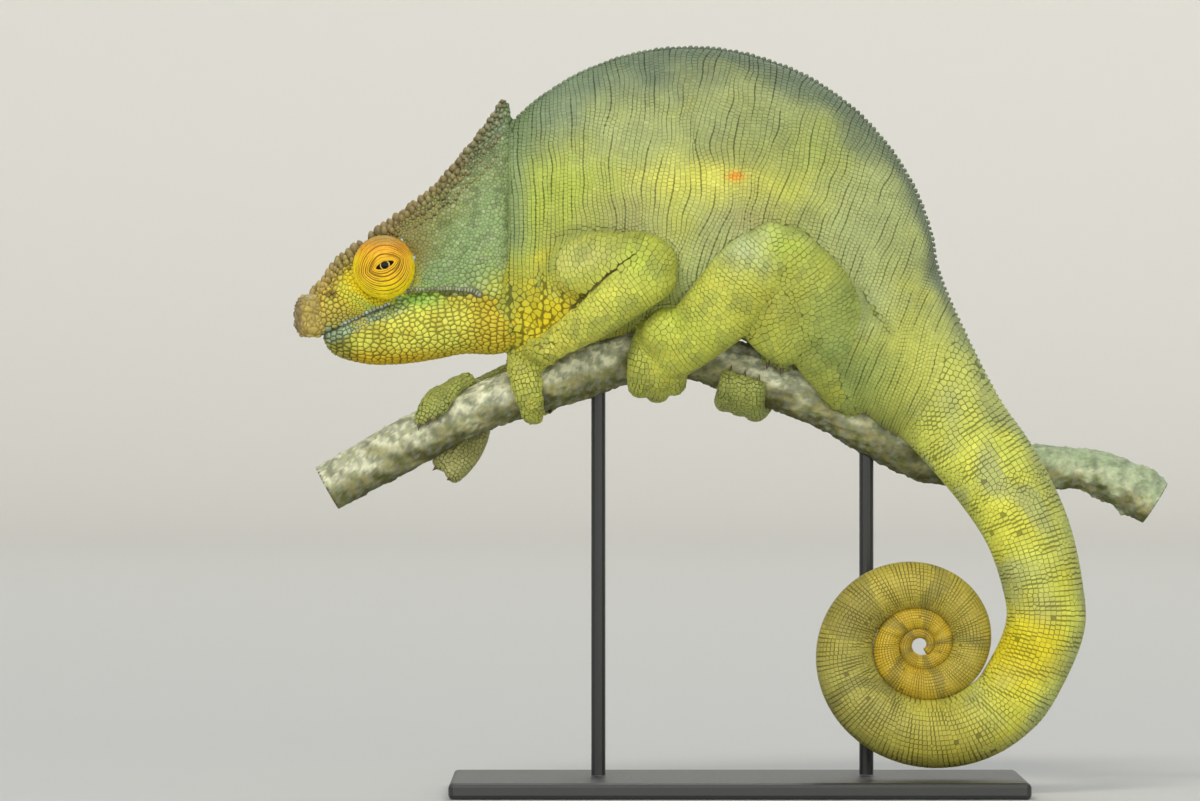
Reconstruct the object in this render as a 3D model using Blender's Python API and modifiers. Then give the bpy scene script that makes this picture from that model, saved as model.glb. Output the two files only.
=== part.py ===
# A life-size, still model of a large casqued chameleon on its perch, for a museum's display case.
#
# The animal faces -X and its left side is at -Y. It grips a bark-covered branch with all four
# feet, and its tail hangs beside the branch and rolls up into a flat coil. The branch is carried
# by two rods on a flat base. The frame's origin is the centre of the base's underside, +Z up.
#
# Every part of the body is a loft between unlike sections: rings of points, worked out from a
# short table of sections and a smooth curve through them. Tables are in millimetres.
# Neighbours that would overlap are cut clear of each other by a thin gap, as in a moulded kit.

import math

import bmesh
import bpy
import numpy as np
from mathutils import Matrix

MM = 0.001
GAP = 0.3                      # clearance between two solids that touch, mm

# ---- the stand ------------------------------------------------------------------------------
BASE_LENGTH = 210.0
BASE_DEPTH = 118.0
BASE_THICK = 6.0
BASE_EDGE = 1.6                # rounding of the base's edges
ROD_RADIUS = 2.6
ROD_FRONT_X = -51.0
ROD_REAR_X = 47.5

# ---- the perch: x, y, z of its centre line and its radius -----------------------------------
PERCH_ROWS = (
    (-150.5, 0.0, 111.6, 9.0),
    (-120.6, 0.0, 128.2, 9.0),
    (-91.8, 0.0, 142.2, 9.2),
    (-64.8, 0.0, 151.4, 9.7),
    (-43.2, 0.0, 158.6, 9.7),
    (-18.0, 0.0, 160.4, 9.6),
    (0.0, 1.0, 155.6, 9.6),
    (21.6, 3.0, 147.2, 9.6),
    (39.6, 6.0, 138.6, 9.5),
    (57.6, 9.5, 128.4, 9.3),
    (75.6, 12.5, 121.0, 9.0),
    (93.6, 14.0, 118.6, 8.4),
    (111.6, 14.5, 119.3, 8.1),
    (129.6, 14.5, 118.0, 8.4),
    (144.0, 14.0, 112.3, 9.0),
    (154.0, 14.0, 106.0, 9.0),
)
PERCH_RINGS = 30
PERCH_SIDES = 10

# ---- neck, trunk and hips: the back is one arc, the belly a short line under it --------------
BACK_X = -17.3                 # centre of the back's arc
BACK_Z = 182.2
BACK_RADIUS = 91.1
# angle on the back's arc from +X, belly x, belly z, half width, y
TRUNK_ROWS = (
    (144.0, -89.0, 168.0, 11.5, 0.0),
    (136.0, -82.0, 160.0, 14.0, 0.0),
    (126.5, -72.0, 157.5, 16.5, 0.0),
    (116.0, -59.0, 160.5, 19.5, 0.0),
    (105.0, -45.0, 166.0, 21.5, 0.0),
    (93.0, -31.0, 170.0, 22.5, 0.0),
    (79.0, -16.0, 171.0, 22.5, 0.0),
    (64.0, -3.5, 168.0, 22.0, 0.0),
    (50.5, 9.0, 162.0, 21.0, 0.0),
    (37.0, 21.5, 155.0, 20.0, 0.0),
    (25.5, 34.0, 146.5, 19.0, -0.5),
    (15.0, 45.0, 140.0, 18.0, -1.5),
    (6.5, 52.5, 134.0, 17.0, -3.0),
)
TRUNK_EGG = 0.36               # how much wider a section is low down than at the spine

# ---- tail: the hanging stretch, then a coil ---------------------------------------------------
# centre x, centre z, half height, lean of the section from upright in degrees, half width, y
TAIL_ROWS = (
    (69.7, 152.8, 25.1, 24.5, 16.5, -6.0),
    (80.1, 135.1, 18.4, 54.0, 15.5, -12.0),
    (93.4, 117.5, 17.3, 61.0, 15.0, -17.0),
    (104.8, 97.5, 15.9, 71.5, 13.9, -20.0),
    (110.8, 76.5, 14.9, 84.0, 13.2, -21.3),
    (111.4, 60.0, 14.6, 97.0, 12.8, -21.8),
)
TAIL_EGG = 0.08
COIL_X = 66.4
COIL_Z = 54.9
COIL_Y = -22.0
COIL_RADIUS = 32.15            # centre line of the tail straight below the coil's centre
COIL_DECAY = 0.1275            # the coil is an equiangular spiral: radius falls as exp(-decay * angle)
COIL_STRETCH = 1.05            # it is a little longer than it is tall
COIL_FILL = 0.375              # half height of the tail as a share of the radius, so that turns touch
COIL_START = -66.0             # degrees on from straight below, going round by the head's side
COIL_END = 1062.0
COIL_STEP = 18.0

# ---- head -------------------------------------------------------------------------------------
# x, top z, bottom z, half widths at the crest, the cheek and the mouth line
HEAD_ROWS = (
    (-159.3, 180.6, 169.4, 3.4, 4.6, 3.0),
    (-152.6, 185.8, 167.4, 6.0, 8.0, 5.5),
    (-145.8, 194.6, 170.6, 8.0, 10.5, 8.0),
    (-139.7, 199.6, 173.5, 10.5, 12.8, 10.0),
    (-132.5, 205.0, 176.4, 12.5, 14.5, 12.0),
    (-121.7, 212.8, 180.4, 13.5, 16.0, 13.5),
    (-110.9, 221.6, 180.0, 12.5, 18.0, 15.0),
    (-100.1, 234.2, 175.7, 9.5, 19.0, 15.5),
    (-91.0, 246.4, 169.2, 5.5, 19.0, 15.0),
    (-87.2, 252.6, 166.3, 3.6, 18.2, 14.0),
    (-84.8, 254.6, 165.8, 2.4, 16.6, 12.5),
    (-83.3, 250.4, 169.0, 1.4, 12.5, 9.5),
)
# x, top z, bottom z, half widths at the top and near the bottom
JAW_ROWS = (
    (-150.9, 168.4, 164.2, 3.2, 2.4),
    (-149.0, 169.4, 161.6, 5.8, 4.4),
    (-145.8, 171.4, 159.6, 8.0, 6.4),
    (-139.7, 174.4, 157.8, 10.2, 8.4),
    (-132.5, 177.3, 156.8, 12.2, 9.8),
    (-121.7, 181.0, 157.2, 14.4, 11.4),
    (-110.9, 182.6, 158.8, 16.2, 12.6),
    (-100.1, 182.0, 160.8, 17.0, 12.6),
    (-90.0, 180.0, 160.6, 16.4, 12.0),
    (-83.5, 178.0, 161.8, 14.6, 11.0),
    (-81.2, 174.0, 165.0, 10.0, 8.0),
)
EYE_CENTRE = (-129.2, 12.6, 192.5)     # of the left turret, y as a distance from the middle
EYE_SIZE = (11.2, 10.4, 11.8)          # half lengths along, across and up
HORN_CENTRE = (-155.9, 5.2, 174.8)
HORN_SIZE = (7.0, 3.6, 8.4)

# ---- limbs: x, y outwards, z of the centre line, half size in the leg's plane, half thickness --
LIMBS = {
    "upper_arm_left": (
        (-70.0, 8.0, 188.6, 10.4, 7.5),
        (-60.0, 16.0, 191.8, 12.0, 8.3),
        (-46.8, 22.5, 195.6, 10.6, 8.3),
        (-35.4, 25.0, 194.8, 10.4, 8.2),
        (-30.2, 25.6, 192.0, 9.6, 7.8),
    ),
    "forearm_left": (
        (-31.0, 26.0, 189.8, 9.8, 8.0),
        (-40.4, 26.6, 183.4, 9.9, 8.3),
        (-49.8, 25.4, 176.2, 8.8, 7.8),
        (-59.2, 21.6, 169.4, 7.2, 6.8),
        (-67.8, 16.0, 163.8, 5.6, 6.0),
    ),
    "upper_arm_right": (
        (-69.1, 8.0, 183.6, 9.5, 7.5),
        (-62.0, 18.0, 174.0, 9.0, 8.0),
        (-58.3, 23.0, 166.0, 8.5, 7.8),
    ),
    "forearm_right": (
        (-58.3, 23.6, 163.6, 8.5, 7.5),
        (-70.2, 21.4, 157.7, 8.0, 7.0),
        (-82.8, 18.4, 151.0, 7.2, 6.5),
        (-93.6, 15.0, 146.4, 6.6, 6.0),
    ),
    "thigh_left": (
        (46.0, 6.0, 154.0, 18.0, 9.0),
        (35.0, 14.0, 168.5, 18.4, 10.5),
        (27.5, 20.5, 183.0, 14.5, 10.5),
        (20.5, 24.2, 194.4, 11.0, 9.2),
        (17.0, 25.0, 199.0, 9.4, 8.2),
    ),
    "shank_left": (
        (13.6, 25.8, 199.2, 10.6, 8.2),
        (5.0, 26.2, 190.4, 14.0, 9.2),
        (-6.6, 24.6, 177.2, 13.6, 9.2),
        (-16.8, 21.0, 167.6, 12.0, 8.6),
        (-24.4, 17.0, 163.4, 12.4, 7.4),
    ),
    "thigh_right": (
        (53.0, 6.0, 162.5, 15.0, 9.0),
        (37.8, 16.0, 175.7, 14.0, 10.2),
        (27.0, 22.5, 187.2, 12.0, 9.6),
        (21.6, 24.8, 192.6, 9.6, 8.5),
    ),
    "shank_right": (
        (21.2, 25.4, 192.0, 9.5, 8.4),
        (19.8, 25.6, 180.0, 10.4, 8.6),
        (16.2, 22.4, 169.2, 9.4, 8.0),
        (13.9, 17.2, 161.6, 8.6, 7.2),
    ),
    "hand_left": (
        (-69.6, 17.2, 162.4, 6.0, 5.4),
        (-71.4, 12.6, 161.4, 6.6, 5.8),
        (-72.4, 6.0, 160.6, 6.8, 5.2),
        (-73.0, -2.0, 160.0, 6.2, 4.2),
    ),
    "hand_right": (
        (-92.2, 16.4, 147.4, 5.6, 5.0),
        (-96.4, 13.4, 146.2, 6.6, 5.2),
        (-99.6, 9.4, 148.2, 7.0, 4.6),
        (-101.4, 3.4, 149.4, 6.2, 3.8),
    ),
    "foot_left": (
        (-25.0, 18.4, 167.6, 10.8, 10.2),
        (-25.4, 12.8, 168.6, 10.6, 9.0),
        (-25.6, 7.0, 171.0, 8.8, 6.4),
        (-26.0, -1.0, 172.0, 7.6, 4.6),
    ),
    "foot_right": (
        (12.4, 19.4, 163.6, 7.8, 6.6),
        (10.6, 15.6, 159.4, 9.4, 6.2),
        (8.8, 14.2, 153.6, 9.6, 5.2),
        (7.6, 13.6, 148.0, 8.6, 4.6),
    ),
}

# ---- toes: they curl round the perch, in bundles of two and three ------------------------------
# perch x and angle round it at the root and at the tip (0 is the top, the animal's left is +),
# toe radius at the root and the tip, number of toes, spacing of their roots and tips along the perch,
# how far they bow along it half way, and how much further the middle toe reaches round it
TOES = {
    "fingers_outer_left": (-74.0, 22.0, -77.5, 158.0, 4.4, 2.7, 2, 6.0, 2.4, -1.0, 0.0),
    "fingers_inner_left": (-73.0, -24.0, -75.0, -140.0, 3.7, 2.6, 3, 5.0, 3.6, 0.0, 0.0),
    "fingers_inner_right": (-99.5, -6.0, -110.0, 60.0, 3.4, 2.6, 3, 4.9, 3.6, 0.0, 0.0),
    "toes_outer_left": (-20.0, 20.0, -30.2, 169.0, 6.8, 5.2, 3, 5.8, 6.4, -2.6, 24.0),
    "toes_inner_left": (-26.0, -24.0, -28.0, -140.0, 4.6, 3.0, 2, 6.8, 4.6, 0.0, 0.0),
    "toes_inner_right": (8.0, -40.0, 10.5, 56.0, 4.6, 3.1, 2, 7.0, 5.2, 0.0, 0.0),
    "toes_outer_right": (7.5, -120.0, 2.5, -250.0, 4.9, 3.4, 3, 6.2, 5.2, 0.0, 0.0),
}
FREE_FINGERS = (               # the right hand's outer pair hangs open under the perch
    (-97.0, 13.0, 139.0, 4.2),
    (-98.6, 10.0, 130.4, 4.2),
    (-102.2, 6.0, 123.6, 4.0),
    (-106.4, 2.5, 118.8, 3.6),
)
FREE_SPACING = 6.4
CLAW_LENGTH = 3.4
CLAW_RADIUS = 1.3
CLAW_HOOK = 1.2
TOE_RINGS = 5
TOE_TIP = 0.06                 # how far the rounded tip goes on past the last ring, as a share
TOE_SHRINK = 0.55              # size of that last ring
TOE_STAND = 0.6                # share of its radius at which a toe's middle line stands off the perch
SOLE_GAP = 0.1                 # extra clearance under the flat chords of a curled toe

COLOURS = {                    # base colour, roughness, metallic
    "skin_green": ((0.40, 0.46, 0.13), 0.55, 0.0),
    "skin_yellow": ((0.55, 0.50, 0.09), 0.55, 0.0),
    "skin_head": ((0.30, 0.38, 0.16), 0.55, 0.0),
    "horn": ((0.42, 0.30, 0.12), 0.5, 0.0),
    "eye_orange": ((0.80, 0.45, 0.03), 0.5, 0.0),
    "bark": ((0.20, 0.20, 0.13), 0.9, 0.0),
    "stand_black": ((0.03, 0.03, 0.032), 0.4, 0.0),
}


# ---- helpers ------------------------------------------------------------------------------------
def clear_scene():
    for obj in list(bpy.data.objects):
        bpy.data.objects.remove(obj)


def collection(name, shown):
    made = bpy.data.collections.new(name)
    made.hide_render = not shown
    bpy.context.scene.collection.children.link(made)
    return made


def material(name):
    if name in bpy.data.materials:
        return bpy.data.materials[name]
    colour, roughness, metallic = COLOURS[name]
    made = bpy.data.materials.new(name)
    made.use_nodes = True
    shader = made.node_tree.nodes["Principled BSDF"]
    shader.inputs["Base Color"].default_value = (*colour, 1.0)
    shader.inputs["Roughness"].default_value = roughness
    shader.inputs["Metallic"].default_value = metallic
    return made


def along(rows, places):
    """Rows of numbers read at fractional places, on a smooth curve through every row."""
    rows = np.asarray(rows, float)
    places = np.clip(np.atleast_1d(np.asarray(places, float)), 0, len(rows) - 1)
    i = np.minimum(places.astype(int), len(rows) - 2)
    t = (places - i)[:, None]
    padded = np.vstack([2 * rows[0] - rows[1], rows, 2 * rows[-1] - rows[-2]])
    a, b, c, d = (padded[i + k] for k in range(4))
    return 0.5 * (
        2 * b + (c - a) * t + (2 * a - 5 * b + 4 * c - d) * t**2 + (3 * b - a - 3 * c + d) * t**3
    )


def unit(vectors):
    return vectors / np.linalg.norm(vectors, axis=-1, keepdims=True)


def mesh_object(name, rings, group, colour):
    """A closed solid whose skin runs through the rings, each a closed loop of points in mm."""
    count, sides = rings.shape[:2]
    ring, side = np.meshgrid(np.arange(count - 1), np.arange(sides), indexing="ij")
    after = (side + 1) % sides
    quads = np.stack(
        [ring * sides + side, ring * sides + after, (ring + 1) * sides + after, (ring + 1) * sides + side],
        axis=-1,
    ).reshape(-1, 4)
    caps = [list(range(sides)), list(range((count - 1) * sides, count * sides))]
    mesh = bpy.data.meshes.new(name)
    mesh.from_pydata((rings.reshape(-1, 3) * MM).tolist(), [], quads.tolist() + caps)
    shape = bmesh.new()
    shape.from_mesh(mesh)
    bmesh.ops.recalc_face_normals(shape, faces=shape.faces)
    shape.to_mesh(mesh)
    shape.free()
    return place(name, mesh, group, colour)


def place(name, mesh, group, colour):
    mesh.shade_smooth()
    mesh.set_sharp_from_angle(angle=math.radians(50))
    obj = bpy.data.objects.new(name, mesh)
    group.objects.link(obj)
    if colour:
        mesh.materials.clear()
        mesh.materials.append(material(colour))
    else:
        obj.hide_render = True
        obj.display_type = "WIRE"
    return obj


def boolean(obj, other, operation, solver="EXACT"):
    modifier = obj.modifiers.new(f"{operation.lower()}_{other.name}"[:60], "BOOLEAN")
    modifier.operation = operation
    modifier.solver = solver
    modifier.object = other


def settle(obj):
    """Applies the object's modifiers and keeps its largest body, without the slivers that a cut leaves."""
    bpy.context.view_layer.update()
    graph = bpy.context.evaluated_depsgraph_get()
    mesh = bpy.data.meshes.new_from_object(obj.evaluated_get(graph))
    obj.modifiers.clear()
    old = obj.data
    obj.data = mesh
    bpy.data.meshes.remove(old)
    shape = bmesh.new()
    shape.from_mesh(mesh)
    bodies = []
    left = set(shape.verts)
    while left:
        body, edge = set(), [left.pop()]
        while edge:
            vert = edge.pop()
            body.add(vert)
            near = {link.other_vert(vert) for link in vert.link_edges} & left
            left -= near
            edge.extend(near)
        bodies.append(body)
    if not bodies:
        raise ValueError(f"nothing is left of {obj.name}")
    biggest = max(bodies, key=len)
    bmesh.ops.delete(shape, geom=[v for b in bodies if b is not biggest for v in b], context="VERTS")
    shape.to_mesh(mesh)
    shape.free()


# ---- the trunk and the tail are one long loft, cut across into lengths --------------------------
def body_rows():
    """Back x, z, belly x, z, y, half width and egg for every section from the neck to the tail tip."""
    rows = []
    for angle, belly_x, belly_z, width, y in TRUNK_ROWS:
        turn = math.radians(angle)
        back = (BACK_X + BACK_RADIUS * math.cos(turn), BACK_Z + BACK_RADIUS * math.sin(turn))
        rows.append((*back, belly_x, belly_z, y, width, TRUNK_EGG))
    for x, z, half, lean, width, y in TAIL_ROWS:
        up = half * math.sin(math.radians(lean)), half * math.cos(math.radians(lean))
        rows.append((x + up[0], z + up[1], x - up[0], z - up[1], y, width, TAIL_EGG))
    for degrees in np.arange(COIL_START, COIL_END + 1, COIL_STEP):
        turn = math.radians(degrees)
        radius = COIL_RADIUS * math.exp(-COIL_DECAY * turn)
        half = COIL_FILL * radius
        out = -math.sin(turn), -math.cos(turn)
        x = COIL_X + COIL_STRETCH * radius * out[0]
        z = COIL_Z + radius * out[1]
        width = half * (0.9 + 0.1 * turn / math.radians(COIL_END))
        rows.append(
            (x + half * out[0], z + half * out[1], x - half * out[0], z - half * out[1], COIL_Y, width, 0.0)
        )
    return np.array(rows)


def body_rings(places, sides, grow=0.0):
    """Rings of the body at fractional rows. Each is an egg, standing on the line from belly to back."""
    read = along(body_rows(), places)
    back, belly = read[:, :2], read[:, 2:4]
    middle = (back + belly) / 2
    half = (back - belly) / 2
    half = half + grow * unit(half)
    turn = np.arange(sides) * 2 * math.pi / sides
    up = np.cos(turn)[None, :]
    across = np.sin(turn)[None, :] * (1 - read[:, 6:7] * up)
    rings = np.empty((len(read), sides, 3))
    rings[..., 0] = middle[:, :1] + half[:, :1] * up
    rings[..., 1] = read[:, 4:5] + (read[:, 5:6] + grow) * across
    rings[..., 2] = middle[:, 1:] + half[:, 1:] * up
    return rings


def body_length(name, first, last, count, sides, group, colour, grow=0.0):
    """One length of the body, half a gap short at each end of the next."""
    rings = body_rings(np.linspace(first, last, count), sides, grow)
    start, end = rings[0].mean(0), rings[-1].mean(0)
    rings[0] += unit(rings[1].mean(0) - start) * GAP / 2
    rings[-1] -= unit(end - rings[-2].mean(0)) * GAP / 2
    return mesh_object(name, rings, group, colour)


# ---- the perch -----------------------------------------------------------------------------------
def perch_line(count):
    """Points x, y, z of the perch's centre line, and its radius, which swells and narrows a little."""
    places = np.linspace(0, len(PERCH_ROWS) - 1, count)
    rows = along(PERCH_ROWS, places)
    rows[:, 3] += 0.35 * np.sin(2.3 * places) - 0.2 * np.sin(5.1 * places)
    return rows


def perch_solid(name, group, colour, grow=0.0):
    """A curve with a bevel, turned into a mesh with its end caps welded on."""
    rows = perch_line(PERCH_RINGS)
    curve = bpy.data.curves.new(name, "CURVE")
    curve.dimensions = "3D"
    curve.bevel_depth = MM
    curve.bevel_resolution = (PERCH_SIDES - 4) // 2
    curve.use_fill_caps = True
    line = curve.splines.new("POLY")
    line.points.add(len(rows) - 1)
    for point, (x, y, z, radius) in zip(line.points, rows):
        point.co = (x * MM, y * MM, z * MM, 1)
        point.radius = radius + grow
    guide = bpy.data.objects.new(name + "_line", curve)
    group.objects.link(guide)
    bpy.context.view_layer.update()
    mesh = bpy.data.meshes.new_from_object(guide.evaluated_get(bpy.context.evaluated_depsgraph_get()))
    bpy.data.objects.remove(guide)
    shape = bmesh.new()
    shape.from_mesh(mesh)
    bmesh.ops.remove_doubles(shape, verts=shape.verts, dist=1e-6)
    bmesh.ops.recalc_face_normals(shape, faces=shape.faces)
    shape.to_mesh(mesh)
    shape.free()
    return place(name, mesh, group, colour)


def perch_frame(x):
    """Centre, up, left and radius of the perch where its centre line passes each x."""
    rows = perch_line(400)
    x = np.atleast_1d(np.asarray(x, float))
    centre = np.stack([np.interp(x, rows[:, 0], rows[:, k]) for k in range(3)], axis=1)
    ahead = np.stack([np.interp(x + 1.0, rows[:, 0], rows[:, k]) for k in range(3)], axis=1)
    tangent = unit(ahead - centre)
    up = unit(np.array([0.0, 0.0, 1.0]) - tangent * tangent[:, 2:])
    left = np.cross(up, tangent)
    left = np.where(left[:, 1:2] > 0, -left, left)
    return centre, up, left, np.interp(x, rows[:, 0], rows[:, 3])


# ---- head, jaw and what stands on them -------------------------------------------------------------
def head_rings(grow=0.0, sides=16, count=18):
    """Upright sections with a roof between two crests, full cheeks and a narrower mouth line."""
    rows = along(HEAD_ROWS, np.linspace(0, len(HEAD_ROWS) - 1, count))
    x, top, bottom, crest, cheek, mouth = (rows[:, k : k + 1] for k in range(6))
    turn = (np.arange(sides) + 0.5)[None, :] * 2 * math.pi / sides
    share = (1 + np.cos(turn)) / 2
    above = np.clip((share - 0.4) / 0.6, 0, 1) ** 1.5
    below = np.sin(np.clip(share / 0.4, 0, 1) * math.pi / 2)
    width = mouth + (cheek - mouth) * below + (crest - cheek) * above
    side = np.sign(np.sin(turn)) * np.abs(np.sin(turn)) ** 0.55
    rings = np.empty((count, sides, 3))
    rings[..., 0] = x
    rings[..., 1] = (width + grow) * side
    rings[..., 2] = (bottom + top) / 2 + ((top - bottom) / 2 + grow) * np.sign(np.cos(turn)) * np.abs(
        np.cos(turn)
    ) ** 0.9
    rings[0, :, 0] -= grow
    rings[-1, :, 0] += grow
    return rings


def jaw_rings(grow=0.0, sides=12, count=11):
    """U-shaped sections from the chin to the throat."""
    rows = along(JAW_ROWS, np.linspace(0, len(JAW_ROWS) - 1, count))
    x, top, bottom, wide, low = (rows[:, k : k + 1] for k in range(5))
    turn = (np.arange(sides) + 0.5)[None, :] * 2 * math.pi / sides
    share = (1 + np.cos(turn)) / 2
    side = np.sign(np.sin(turn)) * np.abs(np.sin(turn)) ** 0.7
    rings = np.empty((count, sides, 3))
    rings[..., 0] = x
    rings[..., 1] = (low + (wide - low) * share + grow) * side
    rings[..., 2] = (bottom + top) / 2 + ((top - bottom) / 2 + grow) * np.cos(turn)
    rings[0, :, 0] -= grow
    rings[-1, :, 0] += grow
    return rings


def ball(name, centre, size, group, colour, segments=12, rings=8):
    """A sphere stretched to three half lengths, with its poles to left and right."""
    shape = bmesh.new()
    bmesh.ops.create_uvsphere(shape, u_segments=segments, v_segments=rings, radius=1.0)
    bmesh.ops.transform(shape, matrix=Matrix.Rotation(math.pi / 2, 4, "X"), verts=shape.verts)
    bmesh.ops.scale(shape, vec=[s * MM for s in size], verts=shape.verts)
    bmesh.ops.translate(shape, vec=[c * MM for c in centre], verts=shape.verts)
    mesh = bpy.data.meshes.new(name)
    shape.to_mesh(mesh)
    shape.free()
    return place(name, mesh, group, colour)


# ---- limbs and toes ---------------------------------------------------------------------------------
def tube_rings(points, half_tall, half_thick, sides, outward=(0.0, -1.0, 0.0), round_ends=True):
    """Oval rings along a line of points. The thin way of each ring faces outwards."""
    heading = unit(np.gradient(points, axis=0))
    thin = np.asarray(outward, float) - heading * (heading @ np.asarray(outward, float))[:, None]
    thin = unit(thin)
    tall = np.cross(heading, thin)
    if round_ends:
        reach, shrink = 0.7, 0.62
        lead = points[:1] - heading[0] * half_tall[0] * reach
        tail = points[-1:] + heading[-1] * half_tall[-1] * reach
        points = np.vstack([lead, points, tail])
        half_tall = np.r_[half_tall[0] * shrink, half_tall, half_tall[-1] * shrink]
        half_thick = np.r_[half_thick[0] * shrink, half_thick, half_thick[-1] * shrink]
        thin = np.vstack([thin[:1], thin, thin[-1:]])
        tall = np.vstack([tall[:1], tall, tall[-1:]])
    turn = np.arange(sides) * 2 * math.pi / sides
    return (
        points[:, None, :]
        + np.cos(turn)[None, :, None] * (tall * half_tall[:, None])[:, None, :]
        + np.sin(turn)[None, :, None] * (thin * half_thick[:, None])[:, None, :]
    )


def limb_rings(name, grow=0.0, sides=10, count=6):
    """A limb's length from its table. Its second column is a distance from the middle of the body."""
    rows = along(LIMBS[name], np.linspace(0, len(LIMBS[name]) - 1, count))
    side = -1.0 if name.endswith("left") else 1.0
    points = rows[:, :3] * (1.0, side, 1.0)
    paw = name.startswith(("hand", "foot"))
    outward = (0.0, 0.0, 1.0) if paw and abs(rows[-1, 2] - rows[0, 2]) < 9 else (0.0, side, 0.0)
    return tube_rings(points, rows[:, 3] + grow, rows[:, 4] + grow, sides, outward)


def bundle_outline(count, apart, radius):
    """Across and up, in mm, of the outline round toes side by side: a peak at each, a dip between two."""
    centres = (np.arange(count) - (count - 1) / 2) * apart
    dips = (centres[:-1] + centres[1:]) / 2
    shoulders = centres[[0, -1]] + np.array([-0.7, 0.7]) * radius
    inner = np.sort(np.r_[centres, dips, shoulders])
    rise = np.sqrt(np.clip(radius**2 - np.abs(inner[:, None] - centres).min(1) ** 2, 0, None))
    end = centres[-1] + radius
    across = np.r_[-end, inner, end, inner[::-1]]
    up = np.r_[0.0, rise, 0.0, -rise[::-1]]
    return across, up, centres


def curled_bundle(name):
    """Rings of a bundle of toes round the perch, and the line of each toe's middle."""
    x_root, root, x_tip, tip, thick, thin, count, apart_root, apart_tip, bow, fan = TOES[name]
    shares = np.r_[np.linspace(0, 1, TOE_RINGS), 1.0 + TOE_TIP]
    step = math.radians(abs(tip - root)) / (TOE_RINGS - 1)
    rings, middles = [], []
    for share in shares:
        radius = (thick + (thin - thick) * min(share, 1.0)) * (1.0 if share <= 1 else TOE_SHRINK)
        apart = apart_root + (apart_tip - apart_root) * min(share, 1.0)
        across, rise, toes = bundle_outline(count, apart, radius)
        x = x_root + (x_tip - x_root) * share + bow * 4 * share * (1 - share)
        for line, places, high in ((rings, across, rise), (middles, toes, 0.0)):
            angle = np.radians(root + (tip - fan * np.abs(places) / apart - root) * share)[:, None]
            centre, up, left, perch = perch_frame(x + places)
            sole = (perch + GAP) / math.cos(step / 2) + SOLE_GAP
            reach = np.maximum(sole, perch + GAP + TOE_STAND * radius + high)[:, None]
            line.append(centre + reach * (up * np.cos(angle) + left * np.sin(angle)))
    return np.array(rings), np.array(middles).transpose(1, 0, 2)


def hanging_bundle():
    """The same for the open pair of fingers, along its own line."""
    rows = along(FREE_FINGERS, np.linspace(0, len(FREE_FINGERS) - 1, TOE_RINGS))
    heading = unit(np.gradient(rows[:, :3], axis=0))
    rows = np.vstack([rows, rows[-1] + np.r_[heading[-1] * rows[-1, 3] * 0.8, 0.0]])
    heading = np.vstack([heading, heading[-1:]])
    side = unit(np.cross(heading, (0.0, -1.0, 0.0)))
    rise = np.cross(heading, side)
    rings, middles = [], []
    for number, (row, across_way, up_way) in enumerate(zip(rows, side, rise)):
        shrink = TOE_SHRINK if number == TOE_RINGS else 1.0
        across, up, toes = bundle_outline(2, FREE_SPACING, row[3] * shrink)
        rings.append(row[:3] + across[:, None] * across_way + up[:, None] * up_way)
        middles.append(row[:3] + toes[:, None] * across_way)
    return np.array(rings), np.array(middles).transpose(1, 0, 2)


def toe_bundle(name, group, helpers, colour):
    """Toes side by side as one solid, and a claw on each."""
    rings, middles = hanging_bundle() if name == "fingers_outer_right" else curled_bundle(name)
    bundle = mesh_object(name, rings, group, colour)
    for number, line in enumerate(middles):
        claw = claw_cone(f"{name}_claw_{number}", line, helpers)
        boolean(bundle, claw, "UNION")
        settle(bundle)
    return bundle


def claw_cone(name, line, helpers):
    """A short hooked claw that starts inside the toe's tip and bends on the way the toe does."""
    heading = unit(line[-1] - line[-2])
    before = unit(line[-2] - line[-3])
    bend = unit(heading - before + heading * 1e-3)
    share = np.linspace(0, 1, 3)
    middle = line[-2] + np.outer(share * (CLAW_LENGTH + np.linalg.norm(line[-1] - line[-2])), heading)
    middle = middle + np.outer(share**2 * CLAW_HOOK, bend)
    size = CLAW_RADIUS * (1 - 0.75 * share)
    rings = tube_rings(middle, size, size, 4, unit(np.cross(heading, (0.31, 0.52, 0.79))), round_ends=False)
    return mesh_object(name, rings, helpers, None)


# ---- the stand ---------------------------------------------------------------------------------------
def stand_base(group):
    shape = bmesh.new()
    bmesh.ops.create_cube(shape, size=1.0)
    bmesh.ops.scale(shape, vec=(BASE_LENGTH * MM, BASE_DEPTH * MM, BASE_THICK * MM), verts=shape.verts)
    bmesh.ops.translate(shape, vec=(0, 0, BASE_THICK / 2 * MM), verts=shape.verts)
    mesh = bpy.data.meshes.new("stand_base")
    shape.to_mesh(mesh)
    shape.free()
    base = place("stand_base", mesh, group, "stand_black")
    bevel = base.modifiers.new("edges", "BEVEL")
    bevel.width = BASE_EDGE * MM
    bevel.segments = 2
    bevel.limit_method = "ANGLE"


def stand_rod(name, x, group):
    centre = perch_frame(x)[0][0]
    bottom = BASE_THICK + GAP
    tall = centre[2] - bottom
    shape = bmesh.new()
    bmesh.ops.create_cone(
        shape, cap_ends=True, segments=12, radius1=ROD_RADIUS * MM, radius2=ROD_RADIUS * MM, depth=tall * MM
    )
    bmesh.ops.translate(shape, vec=(x * MM, centre[1] * MM, (bottom + tall / 2) * MM), verts=shape.verts)
    mesh = bpy.data.meshes.new(name)
    shape.to_mesh(mesh)
    shape.free()
    return place(name, mesh, group, "stand_black")


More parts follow.
